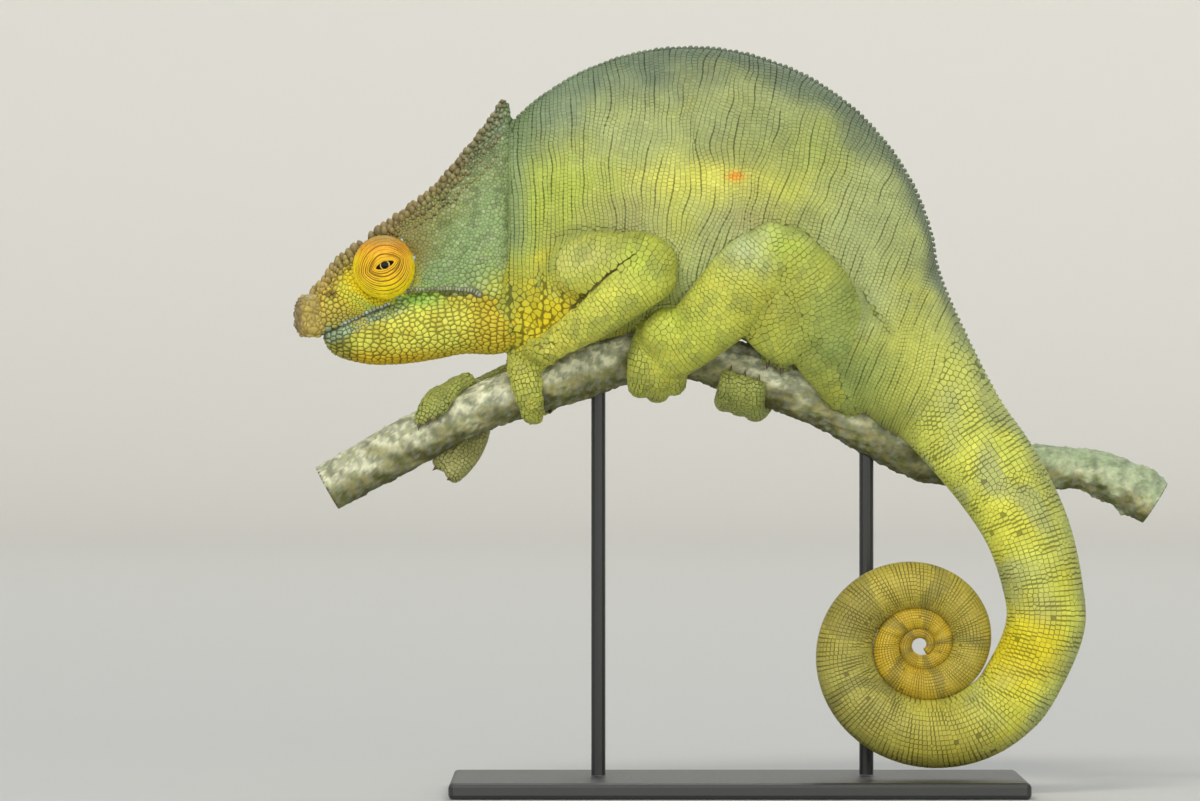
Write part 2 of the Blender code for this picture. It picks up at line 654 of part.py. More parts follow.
# ---- putting it together --------------------------------------------------------------------------------
BODY_LENGTHS = (               # name, first row, last row, rings, sides, colour
    ("neck", 0.0, 2.2, 4, 16, "skin_green"),
    ("trunk", 2.2, 8.6, 12, 16, "skin_green"),
    ("hips", 8.6, 13.2, 9, 16, "skin_green"),
    ("tail_base", 13.2, 16.0, 6, 14, "skin_yellow"),
    ("tail_hanging", 16.0, 19.0, 5, 12, "skin_yellow"),
    ("tail_lower", 19.0, 26.0, 8, 10, "skin_yellow"),
    ("tail_coil_outer", 26.0, 34.0, 9, 10, "skin_yellow"),
    ("tail_coil_second", 34.0, 43.0, 10, 8, "skin_yellow"),
    ("tail_coil_third", 43.0, 56.0, 13, 8, "skin_yellow"),
    ("tail_tip", 56.0, 81.0, 22, 6, "skin_yellow"),
)


def build():
    clear_scene()
    model = collection("chameleon", True)
    helpers = collection("cutters", False)
    lengths = {
        name: body_length(name, first, last, count, sides, model, colour)
        for name, first, last, count, sides, colour in BODY_LENGTHS
    }
    made = dict(lengths)
    made["head"] = mesh_object("head", head_rings(), model, "skin_head")
    made["lower_jaw"] = mesh_object("lower_jaw", jaw_rings(), model, "skin_yellow")
    for side, word in ((-1, "left"), (1, "right")):
        x, y, z = EYE_CENTRE
        made[f"eye_{word}"] = ball(f"eye_{word}", (x, side * y, z), EYE_SIZE, model, "eye_orange")
        x, y, z = HORN_CENTRE
        made[f"horn_{word}"] = ball(f"horn_{word}", (x, side * y, z), HORN_SIZE, model, "horn", 10, 6)
    for name in LIMBS:
        made[name] = mesh_object(name, limb_rings(name), model, "skin_green")
    for name in (*TOES, "fingers_outer_right"):
        made[name] = toe_bundle(name, model, helpers, "skin_green")
    perch = perch_solid("perch", model, "bark")
    stand_base(model)
    rods = [
        stand_rod("stand_rod_front", ROD_FRONT_X, model),
        stand_rod("stand_rod_rear", ROD_REAR_X, model),
    ]

    # cutters: each a little larger than the part that it stands for
    cut = {"perch": perch_solid("cut_perch", helpers, None, GAP)}
    cut["head"] = mesh_object("cut_head", head_rings(GAP), helpers, None)
    cut["lower_jaw"] = mesh_object("cut_lower_jaw", jaw_rings(GAP), helpers, None)
    cut["body"] = body_length("cut_body", 0.3, 16.0, 26, 16, helpers, None, GAP)
    for name in LIMBS:
        cut[name] = mesh_object(f"cut_{name}", limb_rings(name, GAP), helpers, None)

    boolean(made["lower_jaw"], cut["head"], "DIFFERENCE")
    for word in ("left", "right"):
        boolean(made[f"eye_{word}"], cut["head"], "DIFFERENCE")
        boolean(made[f"horn_{word}"], cut["head"], "DIFFERENCE")
        boolean(made[f"horn_{word}"], cut["lower_jaw"], "DIFFERENCE")
    for name in ("neck", "trunk", "hips", "tail_base"):
        for cutter in ("head", "lower_jaw", "perch"):
            boolean(made[name], cut[cutter], "DIFFERENCE")
    for word in ("left", "right"):
        for chain, toes in (
            (("upper_arm", "forearm", "hand"), ("fingers_outer", "fingers_inner")),
            (("thigh", "shank", "foot"), ("toes_outer", "toes_inner")),
        ):
            names = [f"{part}_{word}" for part in chain]
            for number, name in enumerate(names):
                for cutter in ("body", "head", "lower_jaw", "perch", *names[:number]):
                    boolean(made[name], cut[cutter], "DIFFERENCE")
            for toe in (f"{part}_{word}" for part in toes):
                both = [f"{part}_{side}" for side in ("left", "right") for part in chain]
                for cutter in ("body", "perch", *both):
                    # toes lie so close along the perch that the exact solver loses some of them
                    boolean(made[toe], cut[cutter], "DIFFERENCE", "MANIFOLD")
    for rod in rods:
        boolean(rod, cut["perch"], "DIFFERENCE")
    for obj in [*made.values(), *rods]:
        if obj.modifiers:
            settle(obj)
    print("triangles:", sum(len(o.data.polygons) for o in [*made.values(), perch]))


build()
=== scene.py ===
# The finish of a life-size museum model: a large casqued chameleon on its branch, on a plain stand.
# The animal faces -X, its left side is at -Y and +Z is up. All shapes are worked out in millimetres.
import math

import bmesh
import bpy
import numpy as np
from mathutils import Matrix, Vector
from mathutils.bvhtree import BVHTree
from mathutils.kdtree import KDTree


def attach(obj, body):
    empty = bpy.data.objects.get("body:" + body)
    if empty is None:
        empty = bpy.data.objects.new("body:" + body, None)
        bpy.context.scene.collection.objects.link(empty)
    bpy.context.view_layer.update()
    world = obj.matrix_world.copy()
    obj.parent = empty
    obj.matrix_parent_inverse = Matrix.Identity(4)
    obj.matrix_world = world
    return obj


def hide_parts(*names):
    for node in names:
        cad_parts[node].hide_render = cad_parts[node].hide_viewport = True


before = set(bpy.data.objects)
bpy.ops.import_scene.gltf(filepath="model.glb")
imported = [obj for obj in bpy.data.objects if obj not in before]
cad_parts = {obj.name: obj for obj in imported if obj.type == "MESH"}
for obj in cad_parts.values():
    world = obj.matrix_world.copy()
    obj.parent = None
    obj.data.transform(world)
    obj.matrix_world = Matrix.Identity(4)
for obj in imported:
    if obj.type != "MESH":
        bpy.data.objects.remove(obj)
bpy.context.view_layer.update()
mm = 0.001
fullTurn = 2 * math.pi


# colours and small sums
def fromHex(code):
    # sRGB hex to linear: c / 12.92 near black, otherwise ((c + 0.055) / 1.055) ^ 2.4
    value = np.array([int(code[k : k + 2], 16) for k in (1, 3, 5)]) / 255
    return np.where(value <= 0.04045, value / 12.92, ((value + 0.055) / 1.055) ** 2.4)


def mix(colours, other, amount):
    # colour + (other - colour) * amount, row by row
    other = fromHex(other) if isinstance(other, str) else other
    return colours + (other - colours) * np.asarray(amount)[:, None]


def ramp(low, high, value):
    # 0 below low, 1 above high, and 3t^2 - 2t^3 between
    t = np.clip((value - low) / (high - low), 0, 1)
    return t * t * (3 - 2 * t)


def unit(vectors):
    return vectors / np.maximum(np.linalg.norm(vectors, axis=-1, keepdims=True), 1e-9)


def bell(value, width):
    # 1 at zero, falling off as exp(-(value / width)^2)
    return np.exp(-((value / width) ** 2))


def spotShare(points, x, z, long, tall):
    # a soft oval in the side view: 1 in its middle, exp(-1) on its outline
    return np.exp(-(((points[:, 0] - x) / long) ** 2 + ((points[:, 2] - z) / tall) ** 2))


def distances(line):
    # how far along a line of points each of them lies
    return np.concatenate([[0], np.cumsum(np.linalg.norm(np.diff(line, axis=0), axis=1))])


def turnsRound(count):
    return np.linspace(0, fullTurn, count, endpoint=False)


def fromTop(turn):
    # 0 on the back's middle line and 1 on the belly's
    return 1 - np.abs((turn % fullTurn) / math.pi - 1)


def drift(points, size, seed):
    # a soft random field from about -1 to 1: nine sine waves, each near size mm long, in random directions
    draw = np.random.default_rng(seed)
    ways = unit(draw.normal(size=(9, 3))) * (fullTurn / size * draw.uniform(0.6, 1.5, (9, 1)))
    return np.sin(points @ ways.T + draw.uniform(0, fullTurn, 9)).sum(-1) / 3


def along(rows, places):
    # Catmull-Rom: a smooth curve through every row, read at fractional places
    rows = np.asarray(rows, float)
    places = np.clip(np.asarray(places, float), 0, len(rows) - 1)
    first = np.minimum(places.astype(int), len(rows) - 2)
    t = (places - first)[..., None]
    padded = np.vstack([2 * rows[0] - rows[1], rows, 2 * rows[-1] - rows[-2]])
    a, b, c, d = (padded[first + k] for k in range(4))
    return 0.5 * (2 * b + (c - a) * t + (2 * a - 5 * b + 4 * c - d) * t**2 + (3 * b - a - 3 * c + d) * t**3)


# the body: sections from the neck to the tip of the tail, the same as in the solids
trunk = dict(
    backX=-17.3, backZ=182.2, backRadius=91.1, egg=0.36,
    # angle on the arc of the back, belly x, belly z, half width, y
    rows=(
        (144, -89, 168, 11.5, 0), (136, -82, 160, 14, 0), (126.5, -72, 157.5, 16.5, 0),
        (116, -59, 160.5, 19.5, 0), (105, -45, 166, 21.5, 0), (93, -31, 170, 22.5, 0),
        (79, -16, 171, 22.5, 0), (64, -3.5, 168, 22, 0), (50.5, 9, 162, 21, 0), (37, 21.5, 155, 20, 0),
        (25.5, 34, 146.5, 19, -0.5), (15, 45, 140, 18, -1.5), (6.5, 52.5, 134, 17, -3),
    ),
)
tail = dict(
    egg=0.08,
    # centre x, centre z, half height, lean from upright in degrees, half width, y
    rows=(
        (69.7, 152.8, 25.1, 24.5, 16.5, -6), (80.1, 135.1, 18.4, 54, 15.5, -12),
        (93.4, 117.5, 17.3, 61, 15, -17), (104.8, 97.5, 15.9, 71.5, 13.9, -20),
        (110.8, 76.5, 14.9, 84, 13.2, -21.3), (111.4, 60, 14.6, 97, 12.8, -21.8),
    ),
    coilX=66.4, coilZ=54.9, coilY=-22, radius=32.15, decay=0.1275, stretch=1.05, fill=0.375,
    start=-66, end=1062, step=18,
)


def bodySections():
    # back x, z, belly x, z, y, half width and egg; the coil is an equiangular spiral
    rows = []
    for angle, bellyX, bellyZ, width, y in trunk["rows"]:
        turn = math.radians(angle)
        backX = trunk["backX"] + trunk["backRadius"] * math.cos(turn)
        backZ = trunk["backZ"] + trunk["backRadius"] * math.sin(turn)
        rows.append((backX, backZ, bellyX, bellyZ, y, width, trunk["egg"]))

    def across(x, z, outX, outZ, y, width, egg):
        rows.append((x + outX, z + outZ, x - outX, z - outZ, y, width, egg))

    for x, z, half, lean, width, y in tail["rows"]:
        turn = math.radians(lean)
        across(x, z, half * math.sin(turn), half * math.cos(turn), y, width, tail["egg"])
    for degrees in np.arange(tail["start"], tail["end"] + 1, tail["step"]):
        turn = math.radians(degrees)
        radius = tail["radius"] * math.exp(-tail["decay"] * turn)
        half = tail["fill"] * radius
        outX, outZ = -math.sin(turn), -math.cos(turn)
        x, z = tail["coilX"] + tail["stretch"] * radius * outX, tail["coilZ"] + radius * outZ
        width = half * (0.9 + 0.1 * turn / math.radians(tail["end"]))
        across(x, z, half * outX, half * outZ, tail["coilY"], width, 0)
    return np.array(rows, float)


bodyRows = bodySections()
tailEnd = len(bodyRows) - 1


def bodyPoint(place, turn, grow=0.0):
    # an egg on the line from belly to back: middle + half * cos, and half width * sin * (1 - egg * cos)
    place, turn = np.broadcast_arrays(place, turn)
    read = along(bodyRows, place)
    back, belly = read[..., 0:2], read[..., 2:4]
    middle, half = (back + belly) / 2, (back - belly) / 2
    half = half + np.asarray(grow)[..., None] * unit(half)
    up = np.cos(turn)
    across = np.sin(turn) * (1 - read[..., 6] * up)
    y = read[..., 4] + (read[..., 5] + grow) * across
    return np.stack([middle[..., 0] + half[..., 0] * up, y, middle[..., 1] + half[..., 1] * up], axis=-1)


head = dict(
    # x, top z, bottom z, half widths at the crest, the cheek and the mouth line
    skull=(
        (-159.3, 180.6, 169.4, 3.4, 4.6, 3), (-152.6, 185.8, 167.4, 6, 8, 5.5),
        (-145.8, 194.6, 170.6, 8, 10.5, 8), (-139.7, 199.6, 173.5, 10.5, 12.8, 10),
        (-132.5, 205, 176.4, 12.5, 14.5, 12),
        (-121.7, 212.8, 180.4, 13.5, 16, 13.5), (-110.9, 221.6, 180, 12.5, 18, 15),
        (-100.1, 234.2, 175.7, 9.5, 19, 15.5), (-91, 246.4, 169.2, 5.5, 19, 15),
        (-87.2, 252.6, 166.3, 3.6, 18.2, 14), (-84.8, 254.6, 165.8, 2.4, 16.6, 12.5),
        (-83.3, 250.4, 169, 1.4, 12.5, 9.5),
    ),
    # x, top z, bottom z, half widths at the top and near the bottom
    jaw=(
        (-150.9, 168.4, 164.2, 3.2, 2.4), (-149, 169.4, 161.6, 5.8, 4.4),
        (-145.8, 171.4, 159.6, 8, 6.4), (-139.7, 174.4, 157.8, 10.2, 8.4),
        (-132.5, 177.3, 156.8, 12.2, 9.8), (-121.7, 181, 157.2, 14.4, 11.4),
        (-110.9, 182.6, 158.8, 16.2, 12.6), (-100.1, 182, 160.8, 17, 12.6),
        (-90, 180, 160.6, 16.4, 12), (-83.5, 178, 161.8, 14.6, 11), (-81.2, 174, 165, 10, 8),
    ),
    mouth=((-152, 168), (-143.6, 171.4), (-134.3, 175.8), (-126.7, 178.6), (-118.8, 181.4), (-113, 182.6)),
    temple=((-120.4, 184.1), (-112, 184.7), (-104, 184.7), (-97, 184), (-94, 182.2)),
    lip=((-144.6, 170.9), (-140, 173), (-134.3, 175.8), (-127, 178.6)),
    nostril=(-148.4, 182.6),
)


def power(value, exponent):
    return np.sign(value) * np.abs(value) ** exponent


def headPoint(place, turn, grow=0.0):
    # a roof between two crests, full cheeks and a narrower mouth line; sin^0.55 across and cos^0.9 up
    place, turn = np.broadcast_arrays(place, turn)
    x, top, bottom, crest, cheek, mouth = np.moveaxis(along(head["skull"], place), -1, 0)
    share = (1 + np.cos(turn)) / 2
    above = np.clip((share - 0.4) / 0.6, 0, 1) ** 1.5
    below = np.sin(np.clip(share / 0.4, 0, 1) * math.pi / 2)
    width = mouth + (cheek - mouth) * below + (crest - cheek) * above
    z = (bottom + top) / 2 + ((top - bottom) / 2 + grow) * power(np.cos(turn), 0.9)
    return np.stack([x, (width + grow) * power(np.sin(turn), 0.55), z], axis=-1)


def jawPoint(place, turn, grow=0.0):
    # U-shaped sections: sin^0.7 across, cos up
    place, turn = np.broadcast_arrays(place, turn)
    x, top, bottom, wide, low = np.moveaxis(along(head["jaw"], place), -1, 0)
    share = (1 + np.cos(turn)) / 2
    z = (bottom + top) / 2 + ((top - bottom) / 2 + grow) * np.cos(turn)
    return np.stack([x, (low + (wide - low) * share + grow) * power(np.sin(turn), 0.7), z], axis=-1)


# limbs: x, distance from the middle of the body, z, half size in the leg's plane, half thickness
limbs = {
    "upper_arm_left": (
        (-70, 8, 188.6, 10.4, 7.5), (-60, 16, 191.8, 12, 8.3), (-46.8, 22.5, 195.6, 10.6, 8.3),
        (-35.4, 25, 194.8, 10.4, 8.2), (-30.2, 25.6, 192, 9.6, 7.8),
    ),
    "forearm_left": (
        (-31, 26, 189.8, 9.8, 8), (-40.4, 26.6, 183.4, 9.9, 8.3), (-49.8, 25.4, 176.2, 8.8, 7.8),
        (-59.2, 21.6, 169.4, 7.2, 6.8), (-67.8, 16, 163.8, 5.6, 6),
    ),
    "upper_arm_right": ((-69.1, 8, 183.6, 9.5, 7.5), (-62, 18, 174, 9, 8), (-58.3, 23, 166, 8.5, 7.8)),
    "forearm_right": (
        (-58.3, 23.6, 163.6, 8.5, 7.5), (-70.2, 21.4, 157.7, 8, 7), (-82.8, 18.4, 151, 7.2, 6.5),
        (-93.6, 15, 146.4, 6.6, 6),
    ),
    "thigh_left": (
        (46, 6, 154, 18, 9), (35, 14, 168.5, 18.4, 10.5), (27.5, 20.5, 183, 14.5, 10.5),
        (20.5, 24.2, 194.4, 11, 9.2), (17, 25, 199, 9.4, 8.2),
    ),
    "shank_left": (
        (13.6, 25.8, 199.2, 10.6, 8.2), (5, 26.2, 190.4, 14, 9.2), (-6.6, 24.6, 177.2, 13.6, 9.2),
        (-16.8, 21, 167.6, 12, 8.6), (-24.4, 17, 163.4, 12.4, 7.4),
    ),
    "thigh_right": (
        (53, 6, 162.5, 15, 9), (37.8, 16, 175.7, 14, 10.2), (27, 22.5, 187.2, 12, 9.6),
        (21.6, 24.8, 192.6, 9.6, 8.5),
    ),
    "shank_right": (
        (21.2, 25.4, 192, 9.5, 8.4), (19.8, 25.6, 180, 10.4, 8.6), (16.2, 22.4, 169.2, 9.4, 8),
        (13.9, 17.2, 161.6, 8.6, 7.2),
    ),
    "hand_left": (
        (-69.6, 17.2, 162.4, 6, 5.4), (-71.4, 12.6, 161.4, 6.6, 5.8), (-72.4, 6, 160.6, 6.8, 5.2),
        (-73, -2, 160, 6.2, 4.2),
    ),
    "hand_right": (
        (-92.2, 16.4, 147.4, 5.6, 5), (-96.4, 13.4, 146.2, 6.6, 5.2), (-99.6, 9.4, 148.2, 7, 4.6),
        (-101.4, 3.4, 149.4, 6.2, 3.8),
    ),
    "foot_left": (
        (-25, 18.4, 167.6, 10.8, 10.2), (-25.4, 12.8, 168.6, 10.6, 9), (-25.6, 7, 171, 8.8, 6.4),
        (-26, -1, 172, 7.6, 4.6),
    ),
    "foot_right": (
        (12.4, 19.4, 163.6, 7.8, 6.6), (10.6, 15.6, 159.4, 9.4, 6.2), (8.8, 14.2, 153.6, 9.6, 5.2),
        (7.6, 13.6, 148, 8.6, 4.6),
    ),
}
# toes: place on the branch and angle round it at the root and the tip (0 is the top, the left is +),
# radius at the root and the tip, how many, their spacing along the branch at the root and the tip,
# how far they bow along it half way, and how much further the middle toe reaches round it
toes = {
    "fingers_outer_left": (-74, 22, -77.5, 158, 4.4, 2.7, 2, 6, 2.4, -1, 0),
    "fingers_inner_left": (-73, -24, -75, -140, 3.7, 2.6, 3, 5, 3.6, 0, 0),
    "fingers_inner_right": (-99.5, -6, -110, 60, 3.4, 2.6, 3, 4.9, 3.6, 0, 0),
    "toes_outer_left": (-20, 20, -30.2, 169, 6.8, 5.2, 3, 5.8, 6.4, -2.6, 24),
    "toes_inner_left": (-26, -24, -28, -140, 4.6, 3, 2, 6.8, 4.6, 0, 0),
    "toes_inner_right": (8, -40, 10.5, 56, 4.6, 3.1, 2, 7, 5.2, 0, 0),
    "toes_outer_right": (7.5, -120, 2.5, -250, 4.9, 3.4, 3, 6.2, 5.2, 0, 0),
}
freeFingers = dict(     # the right hand's outer pair hangs open under the branch
    rows=((-97, 13, 139, 4.2), (-98.6, 10, 130.4, 4.2), (-102.2, 6, 123.6, 4), (-106.4, 2.5, 118.8, 3.6)),
    spacing=6.4,
)
branch = dict(
    # x, y, z and radius of the centre line
    rows=(
        (-150.5, 0, 111.6, 9), (-120.6, 0, 128.2, 9), (-91.8, 0, 142.2, 9.2), (-64.8, 0, 151.4, 9.7),
        (-43.2, 0, 158.6, 9.7), (-18, 0, 160.4, 9.6), (0, 1, 155.6, 9.6), (21.6, 3, 147.2, 9.6),
        (39.6, 6, 138.6, 9.5), (57.6, 9.5, 128.4, 9.3), (75.6, 12.5, 121, 9), (93.6, 14, 118.6, 8.4),
        (111.6, 14.5, 119.3, 8.1), (129.6, 14.5, 118, 8.4), (144, 14, 112.3, 9), (154, 14, 106, 9),
    ),
    rings=420, sides=96, gap=0.3, warts=46, endRings=24, merge=1e-7,
)


def branchLine(places):
    # the centre line, whose radius swells and narrows a little: + 0.35 sin(2.3 place) - 0.2 sin(5.1 place)
    read = along(branch["rows"], places)
    read[..., 3] += 0.35 * np.sin(2.3 * places) - 0.2 * np.sin(5.1 * places)
    return read


branchFine = branchLine(np.linspace(0, len(branch["rows"]) - 1, 500))


def branchFrame(x):
    # centre, up, left and radius of the branch where its centre line passes x
    x = np.asarray(x, float)
    centre = np.stack([np.interp(x, branchFine[:, 0], branchFine[:, k]) for k in range(3)], axis=-1)
    ahead = np.stack([np.interp(x + 1, branchFine[:, 0], branchFine[:, k]) for k in range(3)], axis=-1)
    tangent = unit(ahead - centre)
    up = unit(np.array([0.0, 0.0, 1.0]) - tangent * tangent[..., 2:])
    left = np.cross(up, tangent)
    left = np.where(left[..., 1:2] > 0, -left, left)
    return centre, up, left, np.interp(x, branchFine[:, 0], branchFine[:, 3])


def toeRows(name, number):
    # the middle line of one toe and its radius: round the branch at its radius + gap + 0.6 * toe radius
    if name == "fingers_outer_right":
        rows = along(freeFingers["rows"], np.linspace(0, len(freeFingers["rows"]) - 1, 9))
        side = unit(np.cross(unit(np.gradient(rows[:, :3], axis=0)), (0.0, -1.0, 0.0)))
        points = rows[:, :3] + side * (number - 0.5) * freeFingers["spacing"]
        return np.column_stack([points, rows[:, 3]])
    xRoot, root, xTip, tip, thick, thin, count, apartRoot, apartTip, bow, fan = toes[name]
    share = np.linspace(0, 1, 9)
    apart = apartRoot + (apartTip - apartRoot) * share
    beside = number - (count - 1) / 2
    angle = np.radians(root + (tip - fan * abs(beside) - root) * share)[:, None]
    radius = thick + (thin - thick) * share
    middle = xRoot + (xTip - xRoot) * share + bow * 4 * share * (1 - share)
    centre, up, left, wood = branchFrame(middle + beside * apart)
    reach = (wood + branch["gap"] + 0.6 * radius)[:, None]
    return np.column_stack([centre + reach * (up * np.cos(angle) + left * np.sin(angle)), radius])


def tube(rows, outward):
    # an oval carried along a smooth line; past either end it closes as half an ellipsoid
    rows = np.asarray(rows, float)
    if rows.shape[1] == 4:
        rows = np.column_stack([rows, rows[:, 3]])
    last = len(rows) - 1

    def point(place, turn, grow=0.0):
        place, turn = np.broadcast_arrays(place, turn)
        inside = np.clip(place, 0, last)
        past = np.clip(place - inside, -1, 1)
        read = along(rows, inside)
        step = along(rows, np.minimum(inside + 0.04, last)) - along(rows, np.maximum(inside - 0.04, 0))
        heading = unit(step[..., :3])
        thin = unit(outward - heading * (heading @ np.asarray(outward, float))[..., None])
        tall = np.cross(heading, thin)
        close = np.sqrt(np.clip(1 - past**2, 0, 1))
        middle = read[..., :3] + heading * (past * (read[..., 3] * 0.85 + grow))[..., None]
        return (
            middle
            + tall * (np.cos(turn) * (read[..., 3] + grow) * close)[..., None]
            + thin * (np.sin(turn) * (read[..., 4] + grow) * close)[..., None]
        )

    return point, -1.0, last + 1.0


def limbTube(name):
    rows = np.array(limbs[name], float)
    side = -1.0 if name.endswith("left") else 1.0
    rows[:, 1] *= side
    flat = name.startswith(("hand", "foot")) and abs(rows[-1, 2] - rows[0, 2]) < 9
    return tube(rows, (0.0, 0.0, 1.0) if flat else (0.0, side, 0.0))


# the calf and the thigh press together under the knee, and skin fills the notch between them
calfRows = {
    "left": ((15, -24, 187, 7, 8), (13, -23.5, 179, 11, 8), (14, -22, 172.5, 13, 7.5), (19, -19, 167, 12, 7)),
    "right": ((24, 21, 180, 4, 5), (22, 19, 172, 6, 6), (24, 15, 166, 6, 6)),
}

# every loft of flesh: its surface, and its first and last place
bothSides = ((-1, "left"), (1, "right"))
lofts = {"body": (bodyPoint, 0.0, 16.6), "head": (headPoint, 0.0, 11.0), "jaw": (jawPoint, 0.0, 10.0)}
lofts.update({name: limbTube(name) for name in limbs})
for side, word in bothSides:
    lofts[f"calf_{word}"] = tube(calfRows[word], (0.0, float(side), 0.0))
toeLines, toeTilt = {}, (0.31, 0.52, 0.79)
for bundle in (*toes, "fingers_outer_right"):
    for number in range(toes[bundle][6] if bundle in toes else 2):
        toeLines[f"{bundle}_{number}"] = toeRows(bundle, number)
        lofts[f"{bundle}_{number}"] = tube(toeLines[f"{bundle}_{number}"], toeTilt)


# meshes
def makeMesh(name, points, groups):
    # points in mm, and groups of faces, each an array with one row for each face
    groups = [np.asarray(group, int) for group in groups if len(group)]
    sizes = np.concatenate([np.full(len(group), group.shape[1]) for group in groups])
    loops = np.concatenate([group.ravel() for group in groups])
    mesh = bpy.data.meshes.new(name)
    mesh.vertices.add(len(points))
    mesh.vertices.foreach_set("co", (np.asarray(points) * mm).astype(np.float32).ravel())
    mesh.loops.add(len(loops))
    mesh.loops.foreach_set("vertex_index", loops.astype(np.int32))
    mesh.polygons.add(len(sizes))
    mesh.polygons.foreach_set("loop_start", np.concatenate([[0], np.cumsum(sizes)[:-1]]).astype(np.int32))
    mesh.update(calc_edges=True)
    mesh.validate()
    mesh.shade_smooth()
    return mesh


def gridFaces(rings, sides, first=0):
    # quads between rings of points, each ring closed
    ring, side = np.meshgrid(np.arange(rings - 1), np.arange(sides), indexing="ij")
    here, after = ring * sides + side, ring * sides + (side + 1) % sides
    return np.stack([here, after, after + sides, here + sides]).reshape(4, -1).T + first


def closedGrid(grid):
    # a grid of rings closed at each end by a fan to the middle of its last ring
    rings, sides = grid.shape[:2]
    points = np.vstack([grid.reshape(-1, 3), grid[0].mean(0), grid[-1].mean(0)])
    side = np.arange(sides)
    after = (side + 1) % sides
    first = np.stack([after, side, np.full(sides, rings * sides)], axis=1)
    last = (rings - 1) * sides
    final = np.stack([side + last, after + last, np.full(sides, rings * sides + 1)], axis=1)
    return points, gridFaces(rings, sides), np.vstack([first, final])


def triangleCount(mesh):
    return sum(len(polygon.vertices) - 2 for polygon in mesh.polygons)


def outwards(mesh, merge=None):
    # every face points out; points closer than the merge distance are first made one
    shape = bmesh.new()
    shape.from_mesh(mesh)
    if merge:
        bmesh.ops.remove_doubles(shape, verts=shape.verts, dist=merge)
    bmesh.ops.recalc_face_normals(shape, faces=shape.faces)
    shape.to_mesh(mesh)
    shape.free()


def closedMesh(name, points, quads, triangles):
    mesh = makeMesh(name, points, (quads, triangles))
    outwards(mesh)
    return mesh


def capsMesh(name, points, sides):
    # many small closed caps in one mesh: for each one, rings of points and a tip, and a face underneath
    count, each = points.shape[:2]
    side = np.arange(sides)
    last = each - 1 - sides
    fan = np.stack([last + side, last + (side + 1) % sides, np.full(sides, each - 1)], axis=1)
    start = (np.arange(count) * each)[:, None, None]
    quads = (gridFaces((each - 1) // sides, sides)[None] + start).reshape(-1, 4)
    bottom = side[::-1][None] + np.arange(count)[:, None] * each
    return makeMesh(name, points.reshape(-1, 3), (quads, (fan[None] + start).reshape(-1, 3), bottom))


def paint(mesh, colours):
    attribute = mesh.color_attributes.new("tone", "FLOAT_COLOR", "POINT")
    rows = np.column_stack([colours, np.ones(len(colours))])
    attribute.data.foreach_set("color", rows.astype(np.float32).ravel())


def placePiece(name, mesh, material, slot, *nodes):
    # a finished piece: at the origin, riding on the one body, and standing for its nodes
    piece = bpy.data.objects.new(name, mesh)
    bpy.context.scene.collection.objects.link(piece)
    mesh.materials.clear()
    mesh.materials.append(material)
    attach(piece, "root")
    if nodes:
        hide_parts(*nodes)


def readRows(items, key, kind=np.float32, wide=3):
    # one property of each point or edge of a mesh, as rows of numbers
    values = np.empty(len(items) * wide, kind)
    items.foreach_get(key, values)
    return values.reshape(-1, wide)


def readPoints(mesh):
    return readRows(mesh.vertices, "co").astype(float) / mm


def readNormals(mesh):
    return readRows(mesh.vertex_normals, "vector").astype(float)


def movePoints(mesh, points):
    mesh.vertices.foreach_set("co", (points * mm).astype(np.float32).ravel())
    mesh.update()


# materials
def addNode(tree, kind, inputs={}, **settings):
    # a node of one kind with its settings; an input is given a value, or a socket to link from
    node = tree.nodes.new("ShaderNode" + kind)
    for key, value in settings.items():
        setattr(node, key, value)
    for key, value in inputs.items():
        if isinstance(value, bpy.types.NodeSocket):
            tree.links.new(value, node.inputs[key])
        else:
            node.inputs[key].default_value = value
    return node


def newMaterial(name, **shader):
    material = bpy.data.materials.new(name)
    material.use_nodes = True
    principled = material.node_tree.nodes["Principled BSDF"]
    for key, value in shader.items():
        principled.inputs[key.replace("_", " ")].default_value = value
    return material, material.node_tree, principled


def rgba(code):
    return (*fromHex(code), 1.0)


def perMetre(size):
    # noise and Voronoi scale for a feature of this many millimetres, in object space
    return 1 / (size * mm)


def objectPlace(tree):
    return addNode(tree, "TexCoord").outputs["Object"]


def tint(tree, principled, where, size, detail, roughness, spread, light):
    # the painted tone, made lighter and darker by clouds of pigment
    tone = addNode(tree, "Attribute", attribute_name="tone").outputs["Color"]
    clouds = addNode(tree, "TexNoise", {"Vector": where, "Scale": perMetre(size), "Detail": detail,
                                        "Roughness": roughness})
    shade = addNode(tree, "MapRange", {"Value": clouds.outputs[0], "From Min": spread[0],
                                       "From Max": spread[1], "To Min": light[0], "To Max": light[1]})
    tinted = addNode(tree, "VectorMath", {0: tone, "Scale": shade.outputs[0]}, operation="SCALE")
    tree.links.new(tinted.outputs[0], principled.inputs["Base Color"])


def roughen(tree, principled, where, size, detail, roughness, gloss, strength, depth):
    # one grain both dulls the gloss and gives a fine relief
    grains = addNode(tree, "TexNoise", {"Vector": where, "Scale": perMetre(size), "Detail": detail,
                                        "Roughness": roughness}).outputs[0]
    dull = addNode(tree, "MapRange", {"Value": grains, "To Min": gloss[0], "To Max": gloss[1]})
    relief = addNode(tree, "Bump", {"Height": grains, "Strength": strength, "Distance": depth * mm})
    tree.links.new(dull.outputs[0], principled.inputs["Roughness"])
    tree.links.new(relief.outputs[0], principled.inputs["Normal"])


